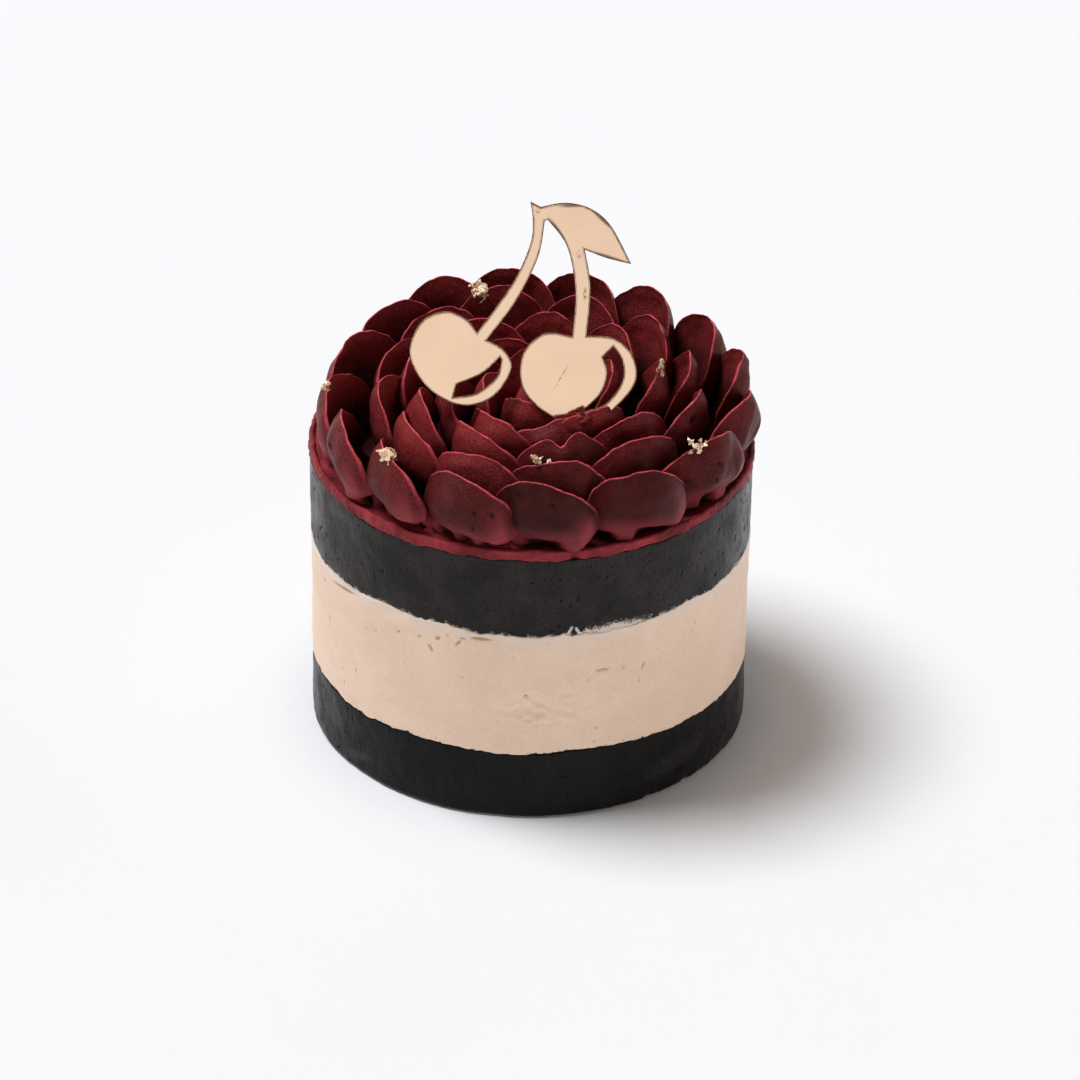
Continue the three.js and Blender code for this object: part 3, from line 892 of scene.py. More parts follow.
def make_cream_layer():
    """The cream band: voids in listed and seeded places, a stirred patch, dark dust along both
    seams, less of it under the torn wedge, and a pale haze below the upper seam."""
    radius, height, points = layer_side(base_seam, cream_seam, CAKE_RADIUS, CAKE_RADIUS, 0.35, 0.12, 82)
    radius += noise_relief(points, 51, (0.12, 24), (0.05, 6), (0.015, 1.6))
    swirl = near_azimuth(SWIRL_AZIMUTH, 8.5) * bell(height, SWIRL_HEIGHT, 4.6)
    radius += swirl * 0.20 * waves(points * [1, 1, 1.3], 2.5, 54, 40)
    voids = pits(height, 20, 48, 40, (0.12, 0.26), (0.1, 0.35), 55, 1.5)
    for void in CREAM_VOIDS:
        voids += VOID_DEPTH * single_mark(height, *void)
    radius -= voids
    above = height - base_seam
    below = cream_seam - height
    dust = np.clip(waves(points, 1.2, 57, 40) + waves(points, 5, 58) - 0.4, 0, 1)
    stain = (0.30 + 0.45 * dust) * bell(above, 0, 0.8) + 0.3 * dust * bell(np.minimum(above, below), 0, 0.3)
    hazed = near_azimuth(HAZE_AZIMUTH, 12) * smooth_step(height, CREAM_TOP - 6, CREAM_TOP - 3)
    stain = stain * (1 - 0.9 * hazed)
    # Painted shade in the voids, darker the deeper the hollow
    void_mask = np.clip(voids / 0.25, 0, 0.9)
    uneven = np.clip(0.75 + 0.35 * waves(points, 3, 59), 0, 1)
    haze = 0.8 * uneven * bell(below, 0, 2.6) * (1 - void_mask)
    make_layer(
        "set_cream_layer", "cream_layer", "cream", cream_material,
        radius, height, BASE_TOP, CREAM_TOP, {"void": void_mask, "stain": stain, "haze": haze},
    )


# The torn wedge's pale cracks: the azimuth in degrees and the height of each end, and half widths
TEAR_CRACKS = [
    ((278.2, 47.6), (279.6, 49.2), 0.34),
    ((279.6, 49.2), (280.8, 51.0), 0.24),
    ((281.9, 50.8), (282.6, 49.6), 0.26),
    ((282.6, 49.6), (284.2, 48.6), 0.34),
]
HAZE_START = 283.5


def segment_distance(height, start, end):
    """Distance on the side from a straight line between two (azimuth, height) points."""
    ahead = apart_of(start[0])
    long = (math.radians(end[0]) - math.radians(start[0])) * CAKE_RADIUS
    rise = end[1] - start[1]
    share = np.clip((ahead * long + (height - start[1]) * rise) / (long**2 + rise**2), 0, 1)
    return np.hypot(ahead - share * long, height - start[1] - share * rise)


def make_upper_sponge():
    """The upper layer: noise and pits on its side, a thin smear of cream along its lower seam, a
    thicker one to the right of the tear, and the tear's cracks."""
    low_round = 0.2 - 0.18 * near_azimuth(HAZE_AZIMUTH, 10)
    radius, height, points = layer_side(
        cream_seam, sponge_seam, CAKE_RADIUS, CAKE_RADIUS, low_round, 0.3, 50
    )
    radius += noise_relief(points, 61, (0.10, 20), (0.03, 5), (0.010, 1.4))
    radius -= pits(height, CREAM_TOP + 0.5, SPONGE_TOP - 0.3, 260, (0.2, 0.42), (0.15, 0.5), 64)
    above = height - cream_seam
    thick = 0.75 * near_azimuth(HAZE_AZIMUTH, 7.5) * bell(above, 0, 1.7)
    thick = thick * smooth_step(apart_of(HAZE_START), -0.5, 1.5)
    thin = 0.38 * bell(above, 0, 0.8) * np.clip(0.5 + 0.8 * waves(points, 2.5, 66, 30), 0, 1)
    smear_and_sheen = np.clip(thick + thin, 0, 1)
    for start, end, width in TEAR_CRACKS:
        smear_and_sheen = np.maximum(smear_and_sheen, 1.1 * bell(segment_distance(height, start, end), 0, width))
    make_layer(
        "set_upper_sponge", "upper_sponge", "sponge", upper_sponge_material,
        radius, height, CREAM_TOP, SPONGE_TOP, {"smear_and_sheen": smear_and_sheen},
    )


# The rings of the disc's top, inside its lip
DISC_RADII = [49.6, 49.1, 48.4, 47.6, 46.6, 45.4, 44, 42, 38, 30, 18, 6]
DISC_EDGE = 0.35
# Where the disc's lip stands highest, and where it is broken
LIP_AZIMUTH = 185
NOTCH_AZIMUTH = 281
# Where a front petal's foot has run out over the disc's rim
TONGUE_AZIMUTH = 259.5
# Where the painted shade is mostly left off the disc, so that it shows bright before the petals
BARE_AZIMUTH = 236
# How far the outer petals stand over the disc beyond the middle of their feet
PETAL_REACH = 3.5


def make_burgundy_disc():
    """The disc's section goes up its side, over a low lip that stands highest at the left, and
    down to the flat top that carries the petals. The lip is the upper half of an ellipse."""
    lip = 0.15 + 0.35 * near_azimuth(LIP_AZIMUTH, 34) + 0.12 * waves(rim_points(DISC_TOP), 9, 71)
    lip = np.clip(lip, 0.03, 0.6)
    side = np.linspace(0, 1, 9)[:, None]
    side_height = sponge_seam + (DISC_TOP - DISC_EDGE - sponge_seam) * side
    side_radius = CAKE_RADIUS + 0.25 - 0.25 * (1 - rounded(side_height - sponge_seam, 0.25))
    over = np.linspace(0, np.pi, 10)[1:, None]
    lip_radius = CAKE_RADIUS - DISC_EDGE + 0.6 * np.cos(over) + np.zeros(LAYER_COLUMNS)
    lip_height = DISC_TOP - DISC_EDGE + (DISC_EDGE + lip) * np.sin(over)
    top_radius = np.array(DISC_RADII)[:, None] + np.zeros(LAYER_COLUMNS)
    radius = np.concatenate([side_radius, lip_radius, top_radius])
    height = np.concatenate([side_height, lip_height, DISC_TOP - 0.30 + 0 * top_radius])
    points = side_points(radius, height)
    on_side = smooth_step(radius, 49, 50.5)
    radius += on_side * noise_relief(points, 72, (0.10, 16), (0.10, 2.6), (0.05, 1.1))
    radius -= on_side * 0.9 * near_azimuth(NOTCH_AZIMUTH, 0.8)
    height += (1 - on_side) * smooth_step(radius, 38, 44) * noise_relief(points, 75, (0.12, 8), (0.04, 2))
    tongue = near_azimuth(TONGUE_AZIMUTH, 4.6) ** 0.5 * smooth_step(radius, 42, 45)
    rise = 1.9 - 1.7 * smooth_step(radius, 46, 50.8)
    height += tongue * rise * smooth_step(height, DISC_TOP - 1, DISC_TOP - 0.4)
    bare = near_azimuth(BARE_AZIMUTH, 17) * smooth_step(radius, 42, 45.5)
    outer = RINGS["outer"]
    reach = np.interp(np.degrees(layer_azimuth), outer["azimuths"], outer["radii"], period=360) + PETAL_REACH
    # Painted shade on the disc's top where the outer petals stand over it, mostly left off at the bare
    # stretch and under the tongue
    deep = (1 - smooth_step(radius - reach, -1.6, 0.6)) * (1 - 0.75 * bare) * (1 - 0.9 * tongue)
    make_layer(
        "spread_burgundy_disc", "burgundy_disc", "burgundy", disc_material,
        radius, height, SPONGE_TOP, None, {"deep": deep},
    )


make_base_sponge()
make_cream_layer()
make_upper_sponge()
make_burgundy_disc()


# The petals

PETAL_COLUMNS = 72
PETAL_ROWS = 31
FOOT_SINK = 1.0
# Half the length that the noise along a rim runs over
RIM_RUN = 12


def petal_middle(ring, along, up):
    """A petal's middle surface in its own axes: x along its width, y outward, z up. The rim is
    part of an ellipse, the foot a straight line, and between them the surface leans out, bellies and
    curls in towards both ends. Along runs from the thin end, -1, to the round end, 1."""
    angle = PETAL_SWEEP * along
    rim_x = ring["width"] / 2 * np.sin(angle)
    rim_z = PETAL_SHOULDER + (ring["height"] - PETAL_SHOULDER) * np.cos(angle)
    x = ring["foot"] / 2 * along + (rim_x - ring["foot"] / 2 * along) * up
    z = rim_z * up
    lean = ring["lean"] * z / ring["height"]
    belly = ring["belly"] * 4 * up * (1 - up) * np.sqrt(rim_z / ring["height"])
    curl = ring["curl"] * (2 * x / ring["width"]) ** 2
    return np.stack([x, lean + belly - curl, z], axis=-1)


def petal_half_thickness(along, up):
    """Half of a petal's thickness: thick low down and thin at the rim, except near its round end.
    It draws in to its foot, and is thinner at both ends."""
    edge = PETAL_EDGE + (PETAL_ROUND_END - PETAL_EDGE) * smooth_step(along, 0.3, 1)
    thickness = edge + (PETAL_BODY - edge) * (1 - up) ** 0.8
    foot = PETAL_FOOT_SHARE + (1 - PETAL_FOOT_SHARE) * smooth_step(up, 0, 0.3)
    return thickness * foot * np.sqrt(1 - 0.8 * np.abs(along) ** 6) / 2


def run_lengths(points, axis):
    """Lengths along the grid's lines from their first point."""
    steps = np.linalg.norm(np.diff(points, axis=axis), axis=-1)
    start = np.zeros_like(np.take(steps, [0], axis=axis))
    return np.concatenate([start, np.cumsum(steps, axis=axis)], axis=axis)


def petal_axes(ring, index):
    """The three axes and the foot of a petal on the disc."""
    azimuth = math.radians(ring["azimuths"][index])
    twist = math.radians(ring["twists"][index])
    outward = np.array([math.cos(azimuth), math.sin(azimuth), 0])
    onward = np.array([-math.sin(azimuth), math.cos(azimuth), 0])
    width = onward * math.cos(twist) + outward * math.sin(twist)
    depth = outward * math.cos(twist) - onward * math.sin(twist)
    foot = outward * ring["radii"][index] + np.array([0, 0, PETAL_FOOT])
    return np.stack([width, depth, [0, 0, 1]]), foot


# The petal whose rim laps over the plate's crescent, and how far
BY_TOPPER = ("fourth", 2)
LAPPED_OVER = [0, -3.4, 1.5]

# Folds in a rim: how far along, the rise, the width of the fold and how far it leans out
PETAL_FOLDS = {
    ("third", 0): [(-0.06, -2.0, 0.95, 1.4), (0.16, 1.2, 1.2, 0.0)],
    ("outer", 15): [(-0.95, 0.0, 3.0, 2.2)],
    ("fourth", 1): [(0.0, -0.4, 5.0, -2.0), (0.3, 0.9, 1.0, 1.6), (-0.18, -1.7, 3.0, 0.0)],
    ("second", 10): [(-0.1, 0.9, 2.0, 0.0)],
    ("third", 8): [(-0.3, 0.8, 2.0, 0.0)],
}

# Pinholes in the outer faces: how far along, how far below the rim, and half the width
PETAL_PINHOLES = {
    ("outer", 13): [(0.15, 5.5, 0.50)],
    ("outer", 15): [(0.53, 3.3, 0.45), (0.33, 5.5, 0.30), (0.37, 9.3, 0.30)],
    ("outer", 0): [(0.15, 3.9, 0.34), (-0.3, 2.2, 0.2)],
    ("outer", 2): [(-0.02, 5.9, 0.45), (-0.53, 4.9, 0.40), (-0.1, 9.0, 0.45)],
    ("outer", 3): [(-0.5, 3.0, 0.40)],
    ("second", 2): [(-0.20, 3.4, 0.60)],
    ("second", 1): [(0.5, 5.0, 0.4)],
    ("fourth", 1): [(-0.45, 3.6, 0.45)],
}
PINHOLE_DEPTH = 0.7
# Along a petal a pinhole's distance is a share of the width
PINHOLE_REACH = 0.45


def petal_sheet(ring_name, index, seed, along, up):
    """A petal's middle surface with the folds and the unevenness of its rim, its foot sunk and the
    whole sheet swayed by noise, and the noise's own line along the rim."""
    ring = RINGS[ring_name]
    middle = petal_middle(ring, along, up)
    rim_run = np.stack([along * RIM_RUN, 0 * along, 0 * along], axis=-1)
    uneven = 0.28 * waves(rim_run, 9, seed + 1, 8) + 0.10 * waves(rim_run, 2.2, seed + 2, 10)
    uneven += 0.06 * waves(rim_run, 1.1, seed + 12, 10)
    for fold_along, rise, width, out in PETAL_FOLDS.get((ring_name, index), []):
        fold = np.exp(-(((along - fold_along) * RIM_RUN / width) ** 2))
        uneven = uneven + rise * fold
        middle[..., 1] += out * fold * smooth_step(up, 0.35, 1)
    middle[..., 2] += uneven * up**4
    middle[..., 2] -= FOOT_SINK * np.clip(1 - up / 0.07, 0, 1) ** 2
    skew = np.random.default_rng(seed).uniform(-0.3, 0.3)
    sway = 0.32 * waves(middle, 11, seed + 3, 8) + skew * along * up
    middle[..., 1] += sway * smooth_step(up, 0, 0.3)
    return middle, rim_run


def petal_pinholes(ring_name, index, along, down):
    """The pinholes in a petal's outer face: the sum and the highest of steep bells round the
    points of the grid that are nearest to the listed places."""
    across = RINGS[ring_name]["width"] * PINHOLE_REACH
    total, highest = 0 * along, 0 * along
    for pinhole_along, pinhole_down, size in PETAL_PINHOLES.get((ring_name, index), []):
        reach = np.hypot((along - pinhole_along) * across, down - pinhole_down)
        nearest = np.unravel_index(reach.argmin(), reach.shape)
        reach = np.hypot((along - along[nearest]) * across, down - down[nearest])
        pinhole = np.exp(-((reach / size) ** 4))
        total = total + pinhole
        highest = np.maximum(highest, pinhole)
    return total, highest


def petal_shades(ring_name, index, along, up, down, height, ragged):
    """The painted highlight along the rim, and each face's painted light, painted sheen and painted
    shade: steps and bells of the place on the petal, with more painted light on the left of the
    flower than in front."""
    ring = RINGS[ring_name]
    in_outer = ring_name == "outer"
    azimuth = ring["azimuths"][index]
    # Where a petal stands round the flower, for its painted light: on the left, in front and behind
    left = math.exp(-(((azimuth - 222) / 34) ** 2))
    front = math.exp(-(((azimuth - 281) / 30) ** 2))
    behind = math.exp(-(((azimuth - 180) / 50) ** 2))
    # A painted highlight along the thin rim, strongest along its crest
    crest = smooth_step(height, 2.5, 8) * (1 - smooth_step(along, 0.4, 0.85))
    rim = np.exp(-((down / 0.15) ** 2)) * (0.12 + 0.88 * crest)
    # Painted light on the outer face: more on the inner rings, less in front and more on the left
    lit = ring["outside"] + (0.22 if in_outer else 0.15) * (1 - front) + (0.08 if in_outer else 0.6) * left
    # Painted sheen and light from below on the low belly and the round end
    low_down = 1 - smooth_step(height, 1.5, 7.5)
    round_end = smooth_step(along, 0.42, 0.9) * smooth_step(down, 0.2, 3.0)
    # Painted shade low on the outer face: under the ragged foot of an outer petal, and low down on the other
    # rings, where the crevices are
    if in_outer:
        deep = 0.95 * (1 - smooth_step(height, 0.5, 2.8)) * smooth_step(ragged, -1.0, 0.6)
    else:
        deep = 0.9 * (1 - smooth_step(height, 4, 11))
    outside = {
        "rim": rim,
        # Painted light, less of it towards the foot
        "painted_light": lit * (0.6 + 0.4 * smooth_step(down, 8, 1)),
        # Painted sheen on the low belly and the round end
        "painted_sheen": np.maximum((0.6 if in_outer else 0.1) * low_down, 0.8 * round_end),
        "deep": deep,
    }
    inside = {
        "rim": rim,
        # Painted light, more of it behind the flower and less towards the foot
        "painted_light": (ring["inside"] + 0.22 * behind) * smooth_step(up, 0.1, 0.7),
        "painted_sheen": 0 * along,
        # Painted shade low on the inner face
        "deep": 0.8 * (1 - smooth_step(height, 3, 11)),
    }
    return outside, inside


def petal_sides(ring_name, index, seed):
    """A petal's outer and inner faces as grids in the cake's frame, the lengths along the petal
    and down from the rim, and each face's shades. The faces meet along the rim and both ends in a
    round as deep as half the thickness there, ripple, and the outer one is ragged at its foot."""
    ring = RINGS[ring_name]
    along = np.sin(np.linspace(-1, 1, PETAL_COLUMNS) * np.pi / 2)[:, None]
    up = (1 - (1 - np.linspace(0, 1, PETAL_ROWS)) ** 2.4)[None, :]
    along, up = np.broadcast_arrays(along, up)
    even = petal_middle(ring, along, up)
    down = run_lengths(even[:, ::-1], 1)[:, ::-1]
    from_thin = run_lengths(even, 0)
    from_round = run_lengths(even[::-1], 0)[::-1]
    sharp = 0.62 * (1 - smooth_step(along, 0.25, 0.85))
    half = petal_half_thickness(along, up) * (1 - sharp * (1 - smooth_step(down, 0, 2.6)))
    closing = rounded(down, half) * rounded(from_thin, half) * rounded(from_round, half)
    half = half * closing
    middle, rim_run = petal_sheet(ring_name, index, seed, along, up)
    height = middle[..., 2]
    frames, foot = petal_axes(ring, index)
    faces = []
    for side in (1, -1):
        face = middle.copy()
        ripple = 0.07 * waves(face, 4, seed + 5 + side, 12)
        face[..., 1] += side * (half + ripple * np.minimum(closing * 2, 1) * (closing > 0))
        faces.append(face @ frames + foot)
    if ring_name == "outer":
        ragged = np.clip(1.9 * waves(rim_run, 7, seed + 9, 8) - 0.1, -1.9, 2.2)
    else:
        ragged = np.clip(0.9 + 1.2 * waves(rim_run, 4.5, seed + 9, 8), 0.3, 2.4)
    pinholes, pinhole = petal_pinholes(ring_name, index, along, down)
    faces[0] -= (ragged * (1 - smooth_step(height, 0.3, 3.0)))[..., None] * frames[1]
    faces[0] -= (PINHOLE_DEPTH * pinholes)[..., None] * frames[1]
    if (ring_name, index) == BY_TOPPER:
        forward = smooth_step(height, 5, 12) * (1 - smooth_step(faces[0][..., 0], 20, 25))
        for face in faces:
            face += forward[..., None] * LAPPED_OVER
    outside, inside = petal_shades(ring_name, index, along, up, down, height, ragged)
    outside["pinhole"], inside["pinhole"] = pinhole, 0 * along
    return faces, from_thin, down, outside, inside


def make_petal(ring_name, index, seed):
    """One closed petal from its two faces, which share the points of the rim and both ends. A
    strip joins them under the foot."""
    (outer, inner), from_thin, down, outside_values, inside_values = petal_sides(ring_name, index, seed)
    columns, rows = outer.shape[:2]
    count = columns * rows
    outer_at = np.arange(count).reshape(columns, rows)
    inner_at = outer_at.copy()
    inner_at[1:-1, :-1] = count + np.arange((columns - 2) * (rows - 1)).reshape(columns - 2, rows - 1)

    def both(outside, inside):
        """The outer face's values, then the inner face's where it has points of its own."""
        kept = inside[1:-1, :-1]
        return np.concatenate([outside.reshape(count, -1), kept.reshape(-1, outside.size // count)])

    uv_grid = np.stack([from_thin, down], axis=-1) / 100
    attributes = {
        label: both(values, inside_values[label]) for label, values in outside_values.items()
    }
    strip = np.stack([outer_at[1:-2, 0], outer_at[2:-1, 0], inner_at[2:-1, 0], inner_at[1:-2, 0]], axis=-1)
    ends = np.array([
        [outer_at[0, 0], outer_at[1, 0], inner_at[1, 0]],
        [outer_at[-1, 0], inner_at[-2, 0], outer_at[-2, 0]],
    ])
    piece = make_piece(
        f"piped_petal_{ring_name}_{index + 1:02d}", both(outer, inner),
        np.concatenate([grid_quads(outer_at)[:, ::-1], grid_quads(inner_at), strip]), ends,
        [petal_material], attributes, both(uv_grid, uv_grid),
    )
    stand_in(piece, "burgundy", f"petal_{ring_name}_{index + 1:02d}")


for ring_number, ring_name in enumerate(RINGS):
    for petal_index in range(len(RINGS[ring_name]["azimuths"])):
        make_petal(ring_name, petal_index, 1000 * (ring_number + 1) + 20 * petal_index)


# Crumbs of the petals' cream

CRUMBS = [
    dict(ring="fourth", petal=1, along=0.27, size=1.7, shift=(0.2, 0.9, 0.6)),
    dict(ring="fourth", petal=1, along=0.40, size=1.1, shift=(0.0, 1.0, 0.9)),
    dict(ring="fourth", petal=1, along=0.20, size=0.6, shift=(0.0, 1.4, -1.6)),
]
CRUMB_ROWS = 24
CRUMB_COLUMNS = 36
# The painted light that the crumbs get, even all over
CRUMB_PAINTED_LIGHT = 0.45


def place_on_rim(ring_name, index, along, shift):
    """A place on a petal's rim, moved by a shift in the petal's own axes, and those axes."""
    frames, foot = petal_axes(RINGS[ring_name], index)
    seat = petal_middle(RINGS[ring_name], np.array(along), np.array(1.0)) + shift
    return seat, frames, foot


def make_crumb(number, ring, petal, along, size, shift):
    """A lump: a sphere whose radius swells and shrinks with noise, closed with a point at each
    end, on a petal's rim."""
    seat, frames, foot = place_on_rim(ring, petal, along, shift)
    tilt = np.linspace(-np.pi / 2, np.pi / 2, CRUMB_ROWS + 2)[:, None]
    turn = np.linspace(0, 2 * np.pi, CRUMB_COLUMNS, endpoint=False)[None, :]
    wide = np.cos(tilt)
    ball = np.stack([wide * np.cos(turn), wide * np.sin(turn), np.sin(tilt) + 0 * turn], axis=-1)
    swell = 1 + 0.22 * waves(ball, 1.6, 70 + number, 12) + 0.10 * waves(ball, 0.6, 80 + number, 16)
    lump = ball * swell[..., None] * size + seat @ frames + foot
    points, quads, triangles = closed_stack(lump[1:-1], lump[0, 0], lump[-1, 0])
    crumb_painted_light = np.full(len(points), CRUMB_PAINTED_LIGHT)
    piece = make_piece(
        f"burgundy_crumb_{number + 1}", points, quads, triangles, [petal_material], {"painted_light": crumb_painted_light}
    )
    stand_in(piece, "burgundy")


for crumb_number, crumb in enumerate(CRUMBS):
    make_crumb(crumb_number, **crumb)


# Gold leaf

FLAKES = [
    dict(ring="second", petal=6, along=0.26, size=5.4, sheets=5, shreds=9, lift=-0.2),
    dict(ring="outer", petal=12, along=0.20, size=3.0, sheets=3, shreds=5, lift=0.3),
    dict(ring="outer", petal=14, along=0.15, size=5.0, sheets=3, shreds=5, lift=-0.4),
    dict(ring="second", petal=0, along=-0.20, size=4.4, sheets=0, shreds=7, lift=0.5),
    dict(ring="third", petal=2, along=-0.02, size=4.0, sheets=0, shreds=8, lift=0.4),
    dict(ring="outer", petal=2, along=-0.24, size=4.8, sheets=0, shreds=11, lift=0.3),
]
SHRED_STEPS = 9
LEAF_THICKNESS = 0.05
# As shares of a flake's size: how far its sheets and shreds spread, and their half lengths
SHEET_SPREAD = [0.1, 0.05, 0.1]
SHEET_REACH = (0.34, 0.5)
SHRED_SPREAD = [0.46, 0.14, 0.4]
SHRED_REACH = (0.14, 0.26)


def shred_of_leaf(centre, size, rng, reach):
    """A crumpled shred: a ragged square sheet in a seeded plane, folded by noise, as a closed thin
    shell of two grids that share their border. Reach is the range of its half length as a share
    of the flake's size. Returns points and quads."""
    u, v = np.meshgrid(np.linspace(-1, 1, SHRED_STEPS), np.linspace(-1, 1, SHRED_STEPS), indexing="ij")
    border = np.maximum(np.abs(u), np.abs(v)) > 0.9
    basis = np.linalg.qr(rng.normal(size=(3, 3)))[0]
    ragged = 1 - 0.4 * np.abs(u * v) + 0.09 * rng.normal(size=u.shape) * border
    long = size * rng.uniform(*reach)
    wide = long * rng.uniform(0.5, 0.9)
    flat = np.stack([u * ragged * long, v * ragged * wide, 0 * u], axis=-1)
    folds = waves(flat, long * 0.9, int(rng.integers(1 << 30)), 10)
    flat[..., 2] = 0.28 * long * folds
    sheet = flat @ basis + centre
    lift = np.where(border[..., None], 0, basis[2] * LEAF_THICKNESS)
    over_at = np.arange(u.size).reshape(u.shape)
    under_at = over_at.copy()
    under_at[~border] = u.size + np.arange((~border).sum())
    points = np.concatenate([(sheet + lift).reshape(-1, 3), (sheet - lift)[~border]])
    faces = np.concatenate([grid_quads(over_at.T), grid_quads(under_at.T)[:, ::-1]])
    return points, faces if np.linalg.det(basis) > 0 else faces[:, ::-1]


def make_gold_leaf(number, ring, petal, along, size, sheets, shreds, lift):
    """A flake of gold leaf: a few shreds together on a petal's rim, the first of them sheets."""
    rng = np.random.default_rng(90 + number)
    seat, frames, foot = place_on_rim(ring, petal, along, [0, 0.3, lift])
    points, faces, count = [], [], 0
    for shred in range(shreds):
        spread, reach = (SHEET_SPREAD, SHEET_REACH) if shred < sheets else (SHRED_SPREAD, SHRED_REACH)
        offset = rng.uniform(-1, 1, 3) * spread * size
        shred_points, shred_faces = shred_of_leaf((seat + offset) @ frames + foot, size, rng, reach)
        points.append(shred_points)
        faces.append(shred_faces + count)
        count += len(shred_points)
    piece = make_piece(
        f"gold_leaf_{number + 1}", np.concatenate(points), np.concatenate(faces), np.zeros((0, 3)),
        [gold_leaf_material], smooth=False,
    )
    stand_in(piece, "gold_leaf")


for flake_number, flake in enumerate(FLAKES):
    make_gold_leaf(flake_number, **flake)


# The cherry topper

TOPPER_OUTLINE = [
    [(-1.1, 49.5)],
    [(1.2, 48.3)],
    [(6.9, 49.3), (12.6, 48.0), (17.2, 44.1), (21.8, 35.7)],
    [(16.2, 37.0), (11.3, 38.8)],
    [(12.8, 30.0), (12.1, 19.2)],
    [(18.2, 18.7), (22.5, 14.9), (23.3, 8.8), (18.4, 2.4), (STAKE_RIGHT, -1.4)],
    [(STAKE_RIGHT, STAKE_END)],
    [(STAKE_LEFT, STAKE_END)],
    [(STAKE_LEFT, -1.2)],
    [(0.9, 3.0), (-2.7, 8.2), (-2.2, 15.2), (2.6, 19.6), (8.7, 19.0)],
    [(9.3, 29.0), (7.4, 39.2), (2.9, 45.4)],
    [(2.2, 45.2)],
    [(0.8, 37.0), (-4.0, 26.9), (-10.5, 17.9)],
    [
        (-6.6, 15.7), (-4.8, 11.4), (-9.0, 4.9), (-16.2, 2.9), (-23.8, 6.8),
        (-28.0, 14.4), (-25.6, 21.6), (-20.2, 24.3), (-15.4, 22.7), (-12.7, 19.7),
    ],
    [(-5.0, 30.7), (-1.1, 39.5), (-0.5, 45.0), (-1.1, 49.5)],
]
TOPPER_SLOTS = [
    [
        [(-7.5, 14.0)],
        [(-11.4, 10.3), (-17.2, 7.7)],
        [(-17.9, 4.8)],
        [(-12.6, 5.8), (-8.2, 9.6), (-7.2, 13.6)],
        [(-7.5, 14.0)],
    ],
    [
        [(18.1, 16.8)],
        [(15.8, 14.4)],
        [(16.9, 10.6), (15.4, 6.0), (11.6, 2.0)],
        [(16.4, 3.6), (20.1, 8.6), (20.2, 13.4), (18.1, 16.8)],
    ],
]
CURVE_STEPS = 10


def smooth_stretch(knots, steps):
    """Points on a curve through the knots: between two knots it is the cubic whose slope at a
    knot is half the way from the knot before to the knot after."""
    knots = np.asarray(knots, float)
    before = np.concatenate([knots[:1], knots, knots[-1:]])
    share = np.linspace(0, 1, steps, endpoint=False)[1:, None]
    pieces = []
    for i in range(len(knots) - 1):
        start_slope = (before[i + 2] - before[i]) / 2
        end_slope = (before[i + 3] - before[i + 1]) / 2
        a, b = knots[i], knots[i + 1]
        cubic = (2 * a - 2 * b + start_slope + end_slope) * share**3
        square = (-3 * a + 3 * b - 2 * start_slope - end_slope) * share**2
        pieces += [knots[i : i + 1], cubic + square + start_slope * share + a]
    return np.concatenate(pieces)


def closed_outline(stretches):
    """The whole outline: smooth stretches and straight ones that meet in corners, without a
    repeated last point."""
    points = [np.array([stretches[0][0]], float)]
    for stretch in stretches[1:]:
        last = points[-1][-1]
        if len(stretch) == 1:
            points.append(np.array(stretch, float))
        else:
            points.append(smooth_stretch([last, *stretch], CURVE_STEPS)[1:])
            points.append(np.array(stretch[-1:], float))
    outline = np.concatenate(points)
    apart = np.linalg.norm(outline - np.roll(outline, 1, axis=0), axis=1)
    return outline[apart > 1e-3]


def flat_plate(thickness, bevel, inset):
    """The outline and its slots as a flat filled curve, drawn in by inset and made a mesh with a
    fine bevel. Its front is at the height of its thickness."""
    curve = bpy.data.curves.new("topper_curve", "CURVE")
    curve.dimensions = "2D"
    curve.fill_mode = "BOTH"
    curve.extrude = (thickness / 2 - bevel) * MM
    curve.bevel_depth = bevel * MM
    curve.bevel_resolution = 1
    curve.offset = -(bevel + inset) * MM
    for stretches in [TOPPER_OUTLINE, *TOPPER_SLOTS]:
        outline = closed_outline(stretches) * MM
        spline = curve.splines.new("POLY")
        spline.points.add(len(outline) - 1)
        spline.use_cyclic_u = True
        padded = np.concatenate([outline, np.zeros((len(outline), 1)), np.ones((len(outline), 1))], axis=1)
        spline.points.foreach_set("co", padded.astype(np.float32).ravel())
    carrier = bpy.data.objects.new("topper_curve", curve)
    bpy.context.scene.collection.objects.link(carrier)
    bpy.context.view_layer.update()
    depsgraph = bpy.context.evaluated_depsgraph_get()
    mesh = bpy.data.meshes.new_from_object(carrier.evaluated_get(depsgraph))
    bpy.data.objects.remove(carrier)
    mesh.transform(Matrix.Translation((0, 0, thickness / 2 * MM)))
    return mesh


# The plate's finishes, in the order of its material slots
PLATE_FINISHES = [mirror_material, arris_glint_material, cut_edge_material, plate_back_material]
MIRROR_FACE, ARRIS_FACE, CUT_FACE, BACK_FACE = range(4)
SHEET_BEVEL = 0.07
FLAT_ON = 0.99


